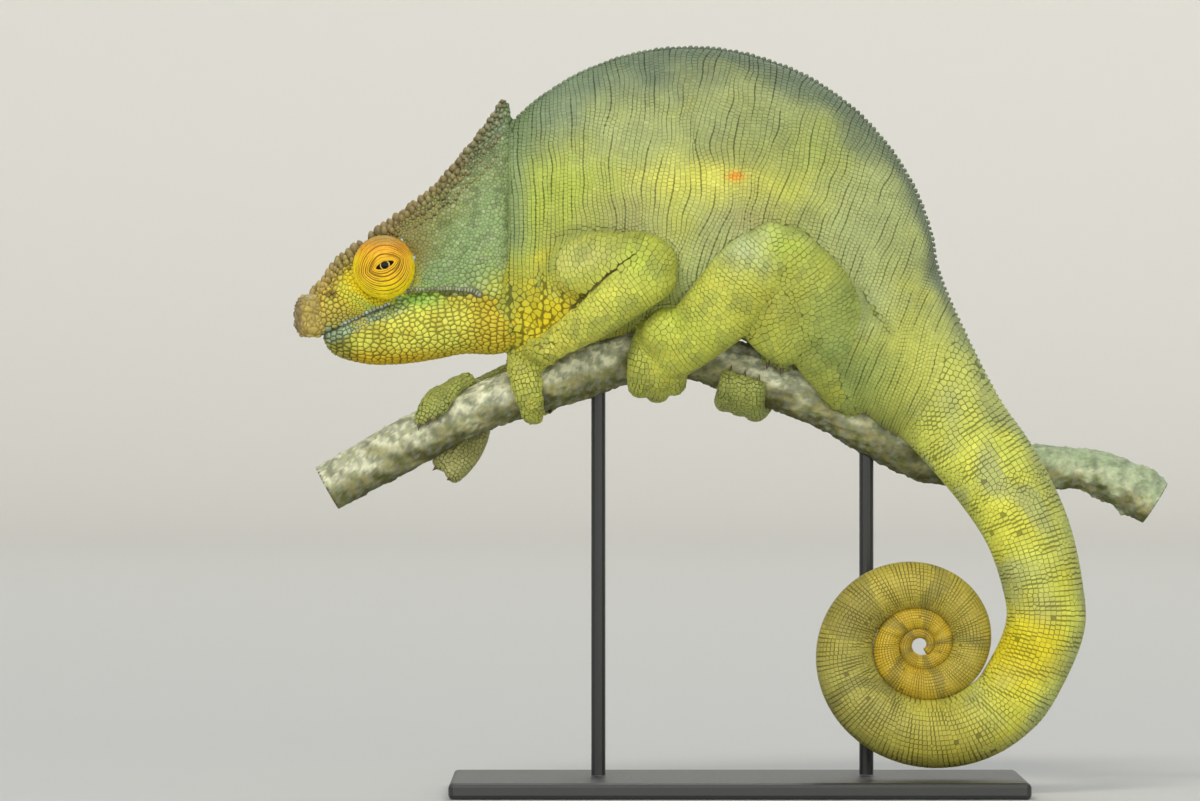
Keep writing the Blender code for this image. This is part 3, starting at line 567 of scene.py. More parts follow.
def scaleFinish(name, roughness, grain, cloud, bump):
    # skin of fine horny plates, cast in flexible resin and airbrushed: matt, with a faint waxy sheen on
    # the crowns. A cloud of pigment shifts each patch of plates and a fine grain dulls the gloss.
    material, tree, principled = newMaterial(name, IOR=1.4, Specular_IOR_Level=0.35)
    where = objectPlace(tree)
    tint(tree, principled, where, cloud, 3.0, 0.5, (0.3, 0.7), (0.88, 1.1))
    roughen(tree, principled, where, grain, 2.0, 0.5, (roughness - 0.08, roughness + 0.12), bump, 0.12)
    return material


# the skin
skin = dict(
    coatDepth=0.45, coilDepth=-0.3, voxel=1.2, cut=15.7, rounds=4, blendRounds=14, fillRounds=5,
    largeGrid=(150, 90), smallGrid=(44, 36), sides=56, rings=370, foldsEnd=82,
    # how light the skin between the scales is painted against them, as painted shade in the gaps: on top of
    # the head and elsewhere
    headShade=0.66, shade=0.42,
    # where limbs meet the body and parts of them meet: x, distance from the middle, z and reach. The
    # hollows at the first six are filled as well as smoothed.
    joints=(
        (-66, 14, 189, 20), (48, 12, 168, 24), (-68, 14, 163, 10), (-25, 19, 163, 15), (14, 18, 163, 12),
        (-93, 15, 147, 9), (-82, 6, 172, 14), (76, 0, 140, 16), (16, 25, 198, 8), (-32, 25, 191, 6),
    ),
)


def fleshLofts():
    # closed tubes for every part of the flesh, drawn in by the depth of the coat
    made = []
    for name, (point, first, last) in lofts.items():
        large = name in ("body", "head", "jaw")
        rings, sides = skin["largeGrid"] if large else skin["smallGrid"]
        places = np.linspace(first, last, rings)
        if not large:
            places = np.clip(places, first + 0.01, last - 0.01)
        made.append(closedGrid(point(places[:, None], turnsRound(sides)[None, :], -skin["coatDepth"])))
    return made


def joined(parts):
    # several sets of points, quads and triangles as one
    points, quads, triangles, count = [], [], [], 0
    for some, four, three in parts:
        points.append(some)
        quads.append(four + count)
        triangles.append(three + count)
        count += len(some)
    return np.vstack(points), np.vstack(quads), np.vstack(triangles)


def applied(obj):
    # the object's mesh with its modifiers applied; the object itself is removed
    graph = bpy.context.evaluated_depsgraph_get()
    mesh = bpy.data.meshes.new_from_object(obj.evaluated_get(graph))
    old = obj.data
    bpy.data.objects.remove(obj)
    bpy.data.meshes.remove(old)
    return mesh


def smoothed(points, edges, steps, strength):
    # at each step every point moves that share of the way to the middle of its neighbours. Steps out and
    # in by turns smooth without shrinking, and steps all one way fill the hollows where limbs meet the body.
    count = np.bincount(edges.ravel(), minlength=len(points))[:, None]
    for step in steps:
        total = np.stack([
            np.bincount(edges[:, 0], points[edges[:, 1], k], len(points))
            + np.bincount(edges[:, 1], points[edges[:, 0], k], len(points))
            for k in range(3)
        ], axis=1)
        points = points + step * strength * (total / count - points)
    return points


def nearSpots(points, spots):
    # 1 at each spot (x, |y|, z, reach), fading to 0 at its reach
    inside = np.zeros(len(points))
    for x, y, z, reach in spots:
        away = np.linalg.norm((points[:, 0] - x, np.abs(points[:, 1]) - y, points[:, 2] - z), axis=0)
        inside = np.maximum(inside, 1 - ramp(0.5 * reach, reach, away))
    return inside[:, None]


def lineAway(x, z, line):
    # the distance in the side view from a line of straight runs
    best = np.full(len(x), 1e9)
    for (ax, az), (bx, bz) in zip(line, line[1:]):
        share = ((x - ax) * (bx - ax) + (z - az) * (bz - az)) / ((bx - ax) ** 2 + (bz - az) ** 2)
        held = np.clip(share, 0, 1)
        best = np.minimum(best, np.hypot(x - ax - held * (bx - ax), z - az - held * (bz - az)))
    return best


eye = dict(centre=(-129.2, 12.6, 192.5), half=(11.5, 10.4, 11.7))
creases = (
    # a line of x, z in the side view, the side it is on, least distance from the middle, depth and width
    (((-37.5, 197), (-41.5, 194.4), (-50.5, 187), (-55, 183), (-60, 177.5)), -1, 14, 0.9, 0.7),
    (((-66, 204), (-58, 206.5), (-47, 206.5), (-38, 204)), -1, 15, 0.7, 1.2),
    (((-63, 173), (-67, 166), (-72, 162)), -1, 9, 0.6, 1.0),
    (((13, 183), (10, 175), (7, 167)), -1, 12, 0.5, 1.6),
    (((27, 164), (33, 158), (40, 152)), -1, 9, 0.6, 2.2),
    (((46, 184), (50, 176), (56, 168)), -1, 10, 0.8, 1.6),
    (((-72, 190), (-75, 180), (-74, 170)), -1, 8, 0.7, 1.5),
)


def eyeShare(points):
    # 1 on the turret's outline in the side view, less inside it
    x, _, z = eye["centre"]
    return np.hypot((points[:, 0] - x) / eye["half"][0], (points[:, 2] - z) / eye["half"][2])


def nostrilShare(points):
    # 1 in the middle of the nostril, fading as exp(-r^4) to 0 just outside its oval rim
    x, z = head["nostril"]
    return np.exp(-((((points[:, 0] - x) / 1.9) ** 2 + ((points[:, 2] - z) / 1.3) ** 2) ** 2))


def creaseShade(points):
    # painted shade: how much darker the marks are painted along the creases
    shade = np.ones(len(points))
    for line, side, least, depth, width in creases:
        away = lineAway(points[:, 0], points[:, 2], line)
        dark = min(0.25 * depth, 0.45) * (points[:, 1] * side > least)
        shade = np.minimum(shade, 1 - dark * bell(away, 1.1 * width))
    return shade[:, None]


def skinFolds(points):
    # how far each point of the skin is pushed out, in mm
    x, z = points[:, 0], points[:, 2]
    beside = np.abs(points[:, 1])
    # upright folds on the neck and level ones at the throat
    neck = ramp(-84, -81, x) * (1 - ramp(-70, -58, x)) * ramp(160, 172, z) * (1 - ramp(236, 250, z))
    warp = x + 0.06 * (z - 200) + 1.1 * drift(points * (1, 1, 0.35), 26, 3)
    push = neck * 0.42 * np.abs(np.sin(warp * math.pi / 3.3)) - neck * 0.3
    throat = ramp(-88, -82, x) * (1 - ramp(-66, -58, x)) * (1 - ramp(168, 178, z))
    push += throat * 0.35 * np.sin((z + 0.4 * x + drift(points, 20, 4)) * fullTurn / 4.6)
    # the mouth's groove and its lip, the temple's ridge and the nostril
    away = lineAway(x, z, head["mouth"])
    front = 1 - ramp(-128, -114, x)
    push -= front * 0.7 * bell(away, 0.7)
    push += front * 0.3 * bell(away - 1.9, 1.0)
    away = lineAway(x, z, head["temple"])
    push += (beside > 9) * 0.5 * bell(away, 1.0) * (x < -92)
    push -= 1.1 * nostrilShare(points) ** 2
    # the eye's socket: a groove round the turret and a swelling round that
    share = eyeShare(points)
    socket = ramp(8, 11, beside) * (x < -105)
    push -= socket * 1.3 * bell(share - 1.0, 0.1)
    push += socket * 0.7 * bell(share - 1.22, 0.1)
    for line, side, least, depth, width in creases:
        away = lineAway(x, z, line)
        push -= (points[:, 1] * side > least) * depth * bell(away, width)
    # hollows behind the eye and in the groin
    push -= 1.3 * spotShare(points, -103, 206, 9, 13) * ramp(8, 12, beside)
    return push - 0.8 * (spotShare(points, 50, 178, 6, 12) * ramp(8, 13, beside))


def clearOfBranch(points):
    # points inside the branch or closer than a small gap are moved straight out from its centre line
    centre, up, left, wood = branchFrame(points[:, 0])
    for _ in range(2):
        away = points - centre
        tangent = np.cross(up, left)
        lift = away - tangent * (away * tangent).sum(1, keepdims=True)
        distance = np.linalg.norm(lift, axis=1)
        need = np.maximum(wood + 0.25 - distance, 0) * (distance > 1) * (np.abs(points[:, 0]) < 150)
        points = points + unit(lift) * need[:, None]
    return points


def fusedFlesh():
    # every closed tube of flesh made one by a voxel remesh
    points, quads, triangles = joined(fleshLofts())
    rough = bpy.data.objects.new("flesh", makeMesh("flesh", points, (quads, triangles)))
    bpy.context.scene.collection.objects.link(rough)
    remesh = rough.modifiers.new("fuse", "REMESH")
    remesh.mode = "VOXEL"
    remesh.voxel_size = skin["voxel"] * mm
    return applied(rough)


def cutTail(shape):
    # the tail is cut across where its coil begins, and what lies past the cut is dropped
    ends = np.full(2, skin["cut"]) + (0, 0.05)
    ring = bodyPoint(ends, math.pi / 2) + bodyPoint(ends, -math.pi / 2)
    at, way = Vector(ring[0] / 2 * mm), Vector(ring[1] - ring[0]).normalized()
    everything = [*shape.verts, *shape.edges, *shape.faces]
    bmesh.ops.bisect_plane(shape, geom=everything, dist=1e-6, plane_co=at, plane_no=way, clear_outer=True)
    islands = looseBodies(shape)
    keep = max(islands, key=len)
    spare = [vert for island in islands if island is not keep for vert in island]
    bmesh.ops.delete(shape, geom=spare, context="VERTS")


def carryOnTail(shape):
    # the tail is carried on from there as a tube, because its turns lie too close to be fused
    first = skin["cut"] + 0.12
    places = first + (tailEnd - skin["cut"] - 0.12) * np.linspace(0, 1, skin["rings"]) ** 1.15
    thinner = ramp(17, 21, places)
    inset = -(skin["coatDepth"] * (1 - thinner) + skin["coilDepth"] * thinner)[:, None]
    grid = bodyPoint(places[:, None], turnsRound(skin["sides"])[None, :], inset * np.ones(skin["sides"]))
    rings, sides = grid.shape[:2]
    made = [shape.verts.new(p) for p in grid.reshape(-1, 3) * mm]
    tip = shape.verts.new((grid[-1].mean(0) + (grid[-1].mean(0) - grid[-2].mean(0)) * 0.6) * mm)
    for face in gridFaces(rings, sides):
        shape.faces.new([made[k] for k in face])
    last = made[-sides:]
    for side in range(sides):
        shape.faces.new((last[side], last[(side + 1) % sides], tip))
    shape.edges.ensure_lookup_table()
    bmesh.ops.bridge_loops(shape, edges=[edge for edge in shape.edges if edge.is_boundary])
    bmesh.ops.triangulate(shape, faces=[face for face in shape.faces if len(face.verts) > 4])
    bmesh.ops.recalc_face_normals(shape, faces=shape.faces)


def makeSkin():
    mesh = fusedFlesh()
    shape = bmesh.new()
    shape.from_mesh(mesh)
    cutTail(shape)
    carryOnTail(shape)
    shape.to_mesh(mesh)
    shape.free()
    points, edges = readPoints(mesh), readRows(mesh.edges, "vertices", np.int32, 2)
    # the folds stop short of the tail, which is hardly smoothed either
    fore = points[:, 0] < skin["foldsEnd"]
    onTail = (ramp(74, 82, points[:, 0]) * (points[:, 2] < 150) + (points[:, 2] < 100))[:, None] > 0.9
    inOut = (0.5, -0.52)
    points = smoothed(points, edges, inOut * skin["rounds"], np.where(onTail, 0.15, 1.0))
    points = smoothed(points, edges, inOut * skin["blendRounds"], nearSpots(points, skin["joints"]))
    points = smoothed(points, edges, (1,) * skin["fillRounds"], 0.5 * nearSpots(points, skin["joints"][:6]))
    movePoints(mesh, points)
    points = clearOfBranch(points + readNormals(mesh) * (skinFolds(points) * fore)[:, None])
    movePoints(mesh, points)
    mesh.shade_smooth()
    return mesh


def looseBodies(shape):
    # sets of vertices that are joined to each other by edges
    bodies, left = [], set(shape.verts)
    while left:
        body, edge = set(), [left.pop()]
        while edge:
            vert = edge.pop()
            body.add(vert)
            near = {link.other_vert(vert) for link in vert.link_edges} & left
            left -= near
            edge.extend(near)
        bodies.append(body)
    return bodies


skinMesh = makeSkin()
skinPoints, skinNormals = readPoints(skinMesh), readNormals(skinMesh)
skinCorners = [tuple(face.vertices) for face in skinMesh.polygons]
skinTree = BVHTree.FromPolygons([tuple(point) for point in skinPoints], skinCorners)
print("skin:", len(skinPoints), "points,", triangleCount(skinMesh), "triangles")


def onSkin(points, reach):
    # the nearest point of the skin and its smooth normal, and whether it lies within reach
    found, normals, near = np.zeros_like(points), np.zeros_like(points), np.zeros(len(points), bool)
    for k, point in enumerate(points):
        spot, _, face, _ = skinTree.find_nearest(Vector(point), reach)
        if spot is not None:
            found[k], near[k] = spot, True
            normals[k] = skinNormals[list(skinCorners[face])].mean(0)
    return found, unit(normals), near


def fromSide(x, z, side):
    # where a straight line from the animal's left (-1) or right (1) first meets the skin
    spot = skinTree.ray_cast(Vector((x, side * 80, z)), Vector((0, -side, 0)))[0]
    return None if spot is None else tuple(spot)


# the markings: base tones for each part, and named patches, each a soft oval in the side view
backTones = dict(front="#839677", middle="#6b7a65", rear="#74806a")
# the animal's pigments: every marking on flank, head and limbs is one of them
pigments = dict(
    lemon="#e6e260", yellow="#f4ea28", gold="#ead41c", citron="#cdd056", straw="#cacc7c", mustard="#a4a43c",
    lime="#b4c44a", leaf="#a8b454", moss="#8c9e58", sage="#aab67e", pearl="#bccca8", olive="#acaa70",
    slate="#788a70", ash="#6c6e54", umber="#907e46", tan="#d8bc50", sea="#96b27a", mint="#c2ea78",
)
flankMarks = (
    # x, z, half length, half height, pigment, strength
    (-60, 221, 18, 15, "lime", 0.8),          # bright shoulder
    (-80, 205, 8, 30, "lime", 0.75),          # side of the neck
    (-80, 182, 7, 12, "mustard", 0.7),
    (-69, 172, 12, 13, "gold", 0.9),          # golden chest
    (-36, 240, 22, 10, "sage", 0.6),          # pale upper flank
    (-12, 224, 20, 5.5, "lemon", 0.95),       # yellow band, with a tongue down and a fainter end
    (-20, 211, 8, 15, "citron", 0.75),
    (15, 219, 16, 5, "citron", 0.7),
    (-42, 210, 12, 9, "olive", 0.6),          # brownish shades beside the tongue
    (2, 208, 11, 9, "olive", 0.7),
    (30, 236, 16, 10, "leaf", 0.7),
    (4, 244, 26, 9, "slate", 0.3),            # faint saddle
    (46, 205, 16, 24, "sage", 0.75),          # rear flank, groin and midriff
    (47, 178, 13, 9, "sage", 0.8),
    (-16, 183, 16, 24, "sage", 0.75),
    (-26, 172, 14, 8, "citron", 0.4),
    (61, 160, 13, 17, "citron", 0.65),        # root of the tail and the shade in front of it
    (40, 154, 14, 12, "moss", 0.8),
    (-71, 248, 11, 8, "slate", 0.85),         # the back's grey-green reaches further down behind the casque
    (-47, 261, 24, 7, "slate", 0.75),
)


def layered(base, points, *layers):
    # a base, one colour or each point's own, under layers: each a colour and how much of it there is
    colours = np.tile(fromHex(base), (len(points), 1)) if isinstance(base, str) else base
    for other, amount in layers:
        colours = mix(colours, other, amount)
    return colours


def ovals(colours, points, marks):
    # uneven soft ovals in the side view
    for x, z, wide, tall, pigment, strength in marks:
        bulge = ((points[:, 0] - x) / wide) ** 2 + ((points[:, 2] - z) / tall) ** 2
        ragged = bulge * (1 + 0.35 * drift(points, 13, int(abs(x) * 7 + z)))
        colours = mix(colours, pigments[pigment], strength * np.exp(-0.7 * ragged))
    return colours


def tailTone(points, place, share):
    # yellow-green, with a dull upper edge, blotches and bars, and browner along the coil
    def cloud(middle, strength, size, seed):
        return np.clip(middle + strength * drift(points, size, seed), 0, 1)

    bars = np.sin(place * 1.55 + drift(points, 30, 23)) > 0.72
    return layered(
        "#d0d660", points,
        ("#d4d24c", cloud(0.5, 0.6, 24, 21) * ramp(13, 17, place)),
        ("#aab173", cloud(0.25, 0.9, 19, 22) * 0.8),
        ("#a3ab6c", (1 - ramp(0.12, 0.34, share)) * 0.75),
        ("#dccb1c", bell(place - 18.4, 0.8) * ramp(0.15, 0.5, share) * 0.9),
        ("#bbb24a", ramp(19, 22, place) * 0.9),
        ("#9b9858", ramp(22, 25, place) * (1 - ramp(27, 30, place)) * 0.6),
        ("#b5a648", ramp(26, 30, place) * 0.9),
        ("#c9ac36", ramp(38, 44, place) * 0.95),
        ("#b79c34", ramp(60, 70, place)),
        ("#7d7a45", bars * 0.45 * ramp(20, 24, place)),
    )


def bodyTone(points, place, turn):
    # a grey-green back and nape, an olive flank with its marks, the tail's tone and one orange fleck
    x, z = points[:, 0], points[:, 2]
    share = fromTop(turn) + 0.03 * drift(points, 20, 11)
    flank = layered("#a2a95e", points, ("#9ba251", ramp(0.5, 0.8, share)),
                    ("#a5ae72", 1 - ramp(0.2, 0.42, share)))
    spine = layered(backTones["front"], points, (backTones["middle"], ramp(2.5, 5, place)),
                    (backTones["rear"], ramp(7, 10, place)))
    return layered(
        ovals(flank, points, flankMarks), points,
        (spine, 0.92 * (1 - ramp(0.1, 0.27, share)) * (1 - 0.6 * ramp(12, 15, place))),
        (tailTone(points, place, share), ramp(12.2, 14.6, place)),
        ("#84976a", (1 - ramp(-82, -72, x)) * ramp(190, 204, z) * 0.85),
        ("#74885f", (1 - ramp(-80, -66, x)) * ramp(226, 244, z) * 0.8),
        ("#eca43a", np.clip(spotShare(points, -1.0, 225.6, 3.0, 1.8) * 1.25, 0, 1)),
    )


headMarks = (
    (-148, 180, 11, 9, "tan", 0.95),          # snout
    (-137, 183, 7, 7, "yellow", 0.75),        # yellow in front of the eye
    (-107, 217, 14, 11, "umber", 0.9),        # brown brow and casque
    (-117, 202, 9, 10, "umber", 0.95),
    (-107, 203, 7, 10, "moss", 0.7),
    (-96, 236, 7, 9, "ash", 0.8),             # grey end of the casque
    (-89, 246, 5, 9, "slate", 0.85),
    (-97, 197, 12, 13, "sea", 0.85),          # sea-green temple
    (-92, 214, 8, 12, "sea", 0.7),
    (-107, 189, 10, 4, "sea", 0.8),
    (-88, 184, 7, 6, "citron", 0.8),
    (-123, 181.5, 11, 3.2, "mint", 0.95),     # bright green under the eye
)
crestLine = ((-158, 182), (-146, 195), (-121.7, 213), (-100, 234.4), (-86, 254))


def headTone(points):
    # brown crest over a green head with its marks, mottled behind, and a yellow ring round each eye
    x, z = points[:, 0], points[:, 2]
    away = lineAway(x, z, crestLine)
    spread = away + 2.5 * drift(points, 8, 31) + 3.5 * ramp(-106, -97, x)
    colours = layered("#8fa36a", points, ("#857750", 1 - ramp(3, 10, spread)))
    rear = ramp(-118, -108, x)
    mottle = np.clip(0.8 * drift(points, 6, 32) + 0.8 * drift(points, 2.2, 34), 0, 1)
    below = lineAway(x, z + 1.3, head["temple"])
    ring = 1 - ramp(1.12, 1.34, eyeShare(points) + 0.05 * drift(points, 6, 33))
    ring = ring * ramp(5, 9, np.abs(points[:, 1]))
    ahead = 1 - ramp(-134, -122, x + 0.4 * (z - 190))
    return layered(
        ovals(colours, points, headMarks), points,
        ("#5f6b45", mottle * 0.5 * rear * ramp(186, 196, z)),
        ("#b9c39a", np.clip(drift(points, 2.0, 36) - 0.35, 0, 1) * 0.5 * rear),
        # the nostril is painted dark brown, as shade in its opening
        ("#4f3c20", 0.8 * nostrilShare(points)),
        # a dark brown line just under the temple's ridge is painted as its shadow
        ("#5e5428", 0.75 * bell(below, 0.8)),
        ("#e0cb1c", ring * (0.3 + 0.7 * ahead) * (1 - 0.85 * ramp(187, 195, z))),
    )


def jawTone(points):
    # yellow, deeper below, olive at the chin and grey-green by the lip
    x, z = points[:, 0], points[:, 2]
    away = lineAway(x, z, head["mouth"])
    lip = (1 - ramp(1.5, 6.0, away)) * (1 - ramp(-126, -116, x))
    return layered(
        "#dcdb5c", points,
        ("#c8ab18", 1 - ramp(158, 165, z)),
        ("#8b8b3c", 1 - ramp(-147, -137, x)),
        ("#cdb938", ramp(-104, -92, x)),
        ("#9ab49a", 0.8 * lip),
        ("#a8d468", 0.95 * spotShare(points, -117, 181, 10, 3)),
        ("#c9b83a", 0.5 * np.clip(drift(points, 12, 35), 0, 1) * (1 - lip)),
    )


limbMarks = (
    (-58, 194, 14, 7, "straw", 0.7),          # upper arm, elbow and forearm
    (-36, 193, 7, 9, "lime", 0.85),
    (-48, 183, 14, 7, "citron", 0.85),
    (-66, 165, 10, 14, "lemon", 0.75),        # wrist and hand
    (-75, 148, 8, 9, "citron", 0.8),
    # the pale knee is partly its own colour and partly a painted highlight on its top
    (13, 203, 12, 5, "sage", 0.95),           # knee
    (0, 197, 8, 7, "pearl", 0.7),
    (18, 200, 8, 6, "lime", 0.85),
    (-4, 182, 13, 12, "citron", 0.85),        # shin and foot
    (6, 178, 10, 8, "mustard", 0.5),
    (-22, 168, 10, 8, "lime", 0.8),
    (-27, 156, 10, 14, "citron", 0.85),
    (40, 176, 13, 14, "moss", 0.8),           # thigh
    (50, 164, 12, 12, "leaf", 0.8),
    (36, 162, 10, 8, "moss", 0.8),
)


def limbTone(points, name):
    # the right limbs carry the left ones' marks 4 mm lower and fainter, and the toes are duller
    right = "right" in name
    base = "#a3ab58" if right else "#b0b650"
    colours = ovals(layered(base, points), points + (0, 0, 4) if right else points, limbMarks)
    every = np.ones(len(points))
    if right:
        colours = mix(colours, base, 0.55 * every)
    if name.startswith("fingers_outer_right"):
        colours = mix(colours, "#a99a78", 0.5 * every)
    if "toes" in name or "fingers" in name:
        colours = mix(colours, "#979b58", 0.3 * every)
    return mix(colours, "#7f8a4c", 0.4 * np.clip(drift(points, 8, 41), 0, 1))


# the scales: where each one is rooted, which way it runs, how big and how high it is
coat = dict(
    trunkWide=1.65, trunkHigh=1.35, limbWide=1.5, limbHigh=2.3, foot=1.65, jawWide=2.75, jawHigh=1.7,
    groove=0.12, cross=0.05, rise=0.12, sink=0.09, patch=0.003,
    # where the flank's columns start and give way to the tail's rings, and how much they sway
    flankStart=0.2, flankEnd=13.2, sway=0.08,
    # how far from the skin a row's scale may lie, how many neighbours shape a plate, and its corners
    reach=1.9, neighbours=14, corners=8, headCorners=12,
)
rng = np.random.default_rng(7)


def valueAt(value, place):
    # a setting that is one number, or a function of the place along the loft
    return value(place) if callable(value) else value


def mapPlace(places, turns, first, last):
    # where each scale's root lies on the unwrapped loft
    return np.column_stack([(places - first) / (last - first), (turns % fullTurn) / fullTurn])


def columnsOf(point, first, last, wide, start=0.5):
    # places of columns a set width apart along the side of the loft
    fine = np.linspace(first, last, 900)
    lines = [point(fine, turn) for turn in (0.5 * math.pi, 1.5 * math.pi)]
    steps = sum(np.linalg.norm(np.diff(line, axis=0), axis=1) for line in lines) / 2
    passed = np.concatenate([[0], np.cumsum(steps / valueAt(wide, fine[:-1]))])
    return np.interp(np.arange(int(round(passed[-1]))) + start, passed, fine)


def girth(point, place):
    # turns round the loft at one place, and how far round it each of them is
    turns = np.linspace(0, fullTurn, 121)
    return turns, distances(point(np.full(121, place), turns))


def lattice(point, first, last, wide, high, jitter=0.1, aligned=False):
    # columns along the loft, and rows a set height apart round each column, which start anywhere,
    # or are in line with each other from column to column
    middles = columnsOf(point, first, last, wide)
    places, turns, sizes, sheet = [], [], [], []
    for number, column in enumerate(middles):
        around, length = girth(point, column)
        tall = valueAt(high, column)
        count = max(5, int(round(length[-1] / tall)))
        start = 0.5 if aligned else rng.uniform()
        spots = (np.arange(count) + start + jitter * rng.uniform(-1, 1, count)) % count / count
        turns.append(np.interp(spots * length[-1], length, around))
        across = (2.4 if aligned else 1) * jitter * rng.uniform(-1, 1, count) * (last - first) / len(middles)
        places.append(column + across)
        sizes.append(np.full(count, tall))
        sheet.append(np.column_stack([np.full(count, number), spots * length[-1], np.zeros(count)]))
    return tuple(np.concatenate(each) for each in (places, turns, sizes, sheet))


seeds = []


def sow(zone, points, ways, outs, tones, uv, **sizes):
    # stores one batch of scales as columns of numbers
    count = len(points)
    full = {key: np.broadcast_to(np.asarray(value, float), (count,)) for key, value in sizes.items()}
    seeds.append(dict(zone=np.full(count, zone), point=points, way=ways, out=outs, tone=tones, uv=uv, **full))


def waysAlong(point, places, turns, step):
    return unit(point(places + step, turns) - point(places - step, turns))


def warped(point, places, turns, warp):
    # the columns sway: two soft fields, 32 mm and 13 mm across
    rough = point(places, turns)
    return places + warp * (drift(rough, 32, 5) + 0.3 * drift(rough, 13, 6))


def sowFolds(name, first, last, wide, warp):
    # bare lines between every second or third column, which widen, thin out and end as a field drifts
    point = lofts[name][0]
    middles = columnsOf(point, first, last, wide, 1.0)
    chosen = np.cumsum(rng.integers(2, 4, len(middles)))
    places, turns, widths = [], [], []
    for number in chosen[chosen < len(middles) - 1]:
        around, length = girth(point, middles[number])
        spots = np.arange(0, length[-1], 0.9)
        field = drift(np.column_stack([np.full(len(spots), 40.0 * number), spots, 0 * spots]), 24, 51)
        places.append(np.full(len(spots), middles[number]))
        turns.append(np.interp(spots, length, around))
        widths.append(0.13 + 0.2 * field)
    places, turns, widths = (np.concatenate(each) for each in (places, turns, widths))
    places = warped(point, places, turns, warp)
    kept = (widths > 0.05) & (places > 0) & (places < last)
    places, turns, widths = places[kept], turns[kept], np.minimum(widths[kept], 0.26)
    points = point(places, turns)
    # the skin along the bare lines is painted a quarter darker than the flank, as shade in the folds
    sow("gap", points, waysAlong(point, places, turns, 0.02), unit(point(places, turns, 0.5) - points),
        bodyTone(points, places, turns) * 0.75, mapPlace(places, turns, first, last),
        size=0, clear=0.35, rise=widths, groove=0, cross=0, peak=0)


def sowLoft(zone, name, first, last, wide, high, toneOf, rise, groove, cross, peak=0.0, jitter=0.1, warp=0.0):
    # rows of scales round a loft, in columns as wide and high as told
    point = lofts[name][0]
    places, turns, sizes, sheet = lattice(point, first, last, wide, high, jitter, zone in ("jaw", "tail"))
    if zone == "body":      # the chest and throat have irregular plates
        rough = point(places, turns)
        loose = (1 - ramp(-68, -54, rough[:, 0])) * (1 - ramp(180, 196, rough[:, 2]))
        places = places + loose * rng.uniform(-0.05, 0.05, len(places))
        turns = turns + loose * rng.uniform(-0.025, 0.025, len(turns))
    places = warped(point, places, turns, warp)
    inside = (places > 0) & (places < last)
    places, turns, sizes, sheet = (each[inside] for each in (places, turns, sizes, sheet))
    points = point(places, turns)
    # grooves between columns deepen and fade: a soft field about 3 columns wide and 21 mm long
    uneven = drift(sheet * (1, 1 / 9, 1), 1.9, 8) + 0.5 * drift(sheet * (1, 1 / 4, 1), 3.1, 9)
    groove = valueAt(groove, places) * np.clip(1 + 1.1 * uneven, 0.25, 2.6)
    cross = cross * np.clip(1 + 1.2 * drift(points, 9, 10), 0.3, 3)
    chest = (1 - ramp(-66, -52, points[:, 0])) * (1 - ramp(178, 192, points[:, 2])) * (zone == "body")
    crest = (1 - ramp(0.1, 0.2, fromTop(turns))) * (zone == "body")
    cross, groove = cross + 0.24 * chest + 0.12 * crest, groove + 0.14 * chest + 0.06 * crest
    ways = waysAlong(point, places, turns, (last - first) * 0.002)
    sizes = sizes + 0.9 * chest
    # the scales along the creases are painted darker, as shade
    sow(zone, points, ways, unit(point(places, turns, 0.5) - points),
        toneOf(points, places, turns) * creaseShade(points), mapPlace(places, turns, first, last),
        size=sizes, clear=(0.58 + 0.28 * chest) * sizes, rise=valueAt(rise, places),
        groove=groove, cross=cross, peak=peak)


def tailWidth(place):
    # ring spacing shrinks with the tail, from 1.9 mm at its base
    read = along(bodyRows, place)
    half = np.linalg.norm(read[..., 0:2] - read[..., 2:4], axis=-1) / 2
    return np.clip(0.5 + 0.08 * half, 0.5, 1.9)


def headSpacing(points):
    # warty plates on the snout, coarse ones by the casque's edge and low on the cheek, granules elsewhere
    x, z = points[:, 0], points[:, 2]
    size = 1.1 + 0.25 * drift(points, 9, 37)
    size = size + 0.35 * (1 - ramp(190, 199, z)) * ramp(-116, -108, x)
    size = size + 0.5 * (1 - ramp(186, 194, z)) * ramp(-106, -100, x)
    away = lineAway(x, z, crestLine)
    size = size + 0.4 * (1 - ramp(4, 7, away))
    size = np.where(eyeShare(points) < 1.25, 1.0, size)
    return size + 0.55 * (1 - ramp(-145, -137, x))


def sowLine(line, spacing, offsets, code, clear, rise, size, sides=(-1, 1)):
    # a row of scales along a line in the side view, on one side of the animal or both
    run = np.array(line, float)
    length = distances(run)

    def read(spot):
        return np.array([np.interp(spot, length, values) for values in run.T])

    for offset, side in ((offset, side) for offset in offsets for side in sides):
        points, ways = [], []
        for spot in np.arange(0, length[-1], spacing):
            x, z = read(spot)
            dx, dz = read(spot + 0.5) - read(spot - 0.5)
            long = math.hypot(dx, dz)
            hit = fromSide(x - dz / long * offset, z + dx / long * offset, side)
            if hit:
                points.append(hit)
                ways.append((dx / long, 0, dz / long))
        count = len(points)
        tones = np.clip(fromHex(code) * rng.uniform(0.6, 1.25, (count, 1)), 0, 1)
        uv = np.column_stack([np.linspace(0.02, 0.98, count), np.full(count, 0.5 + 0.02 * offset)])
        sow("gap" if size == 0 else "line", np.array(points), np.array(ways),
            np.tile((0.0, float(side), 0.0), (count, 1)), tones, uv,
            size=size, clear=clear, rise=rise, groove=0.2, cross=0.12, peak=0.6)


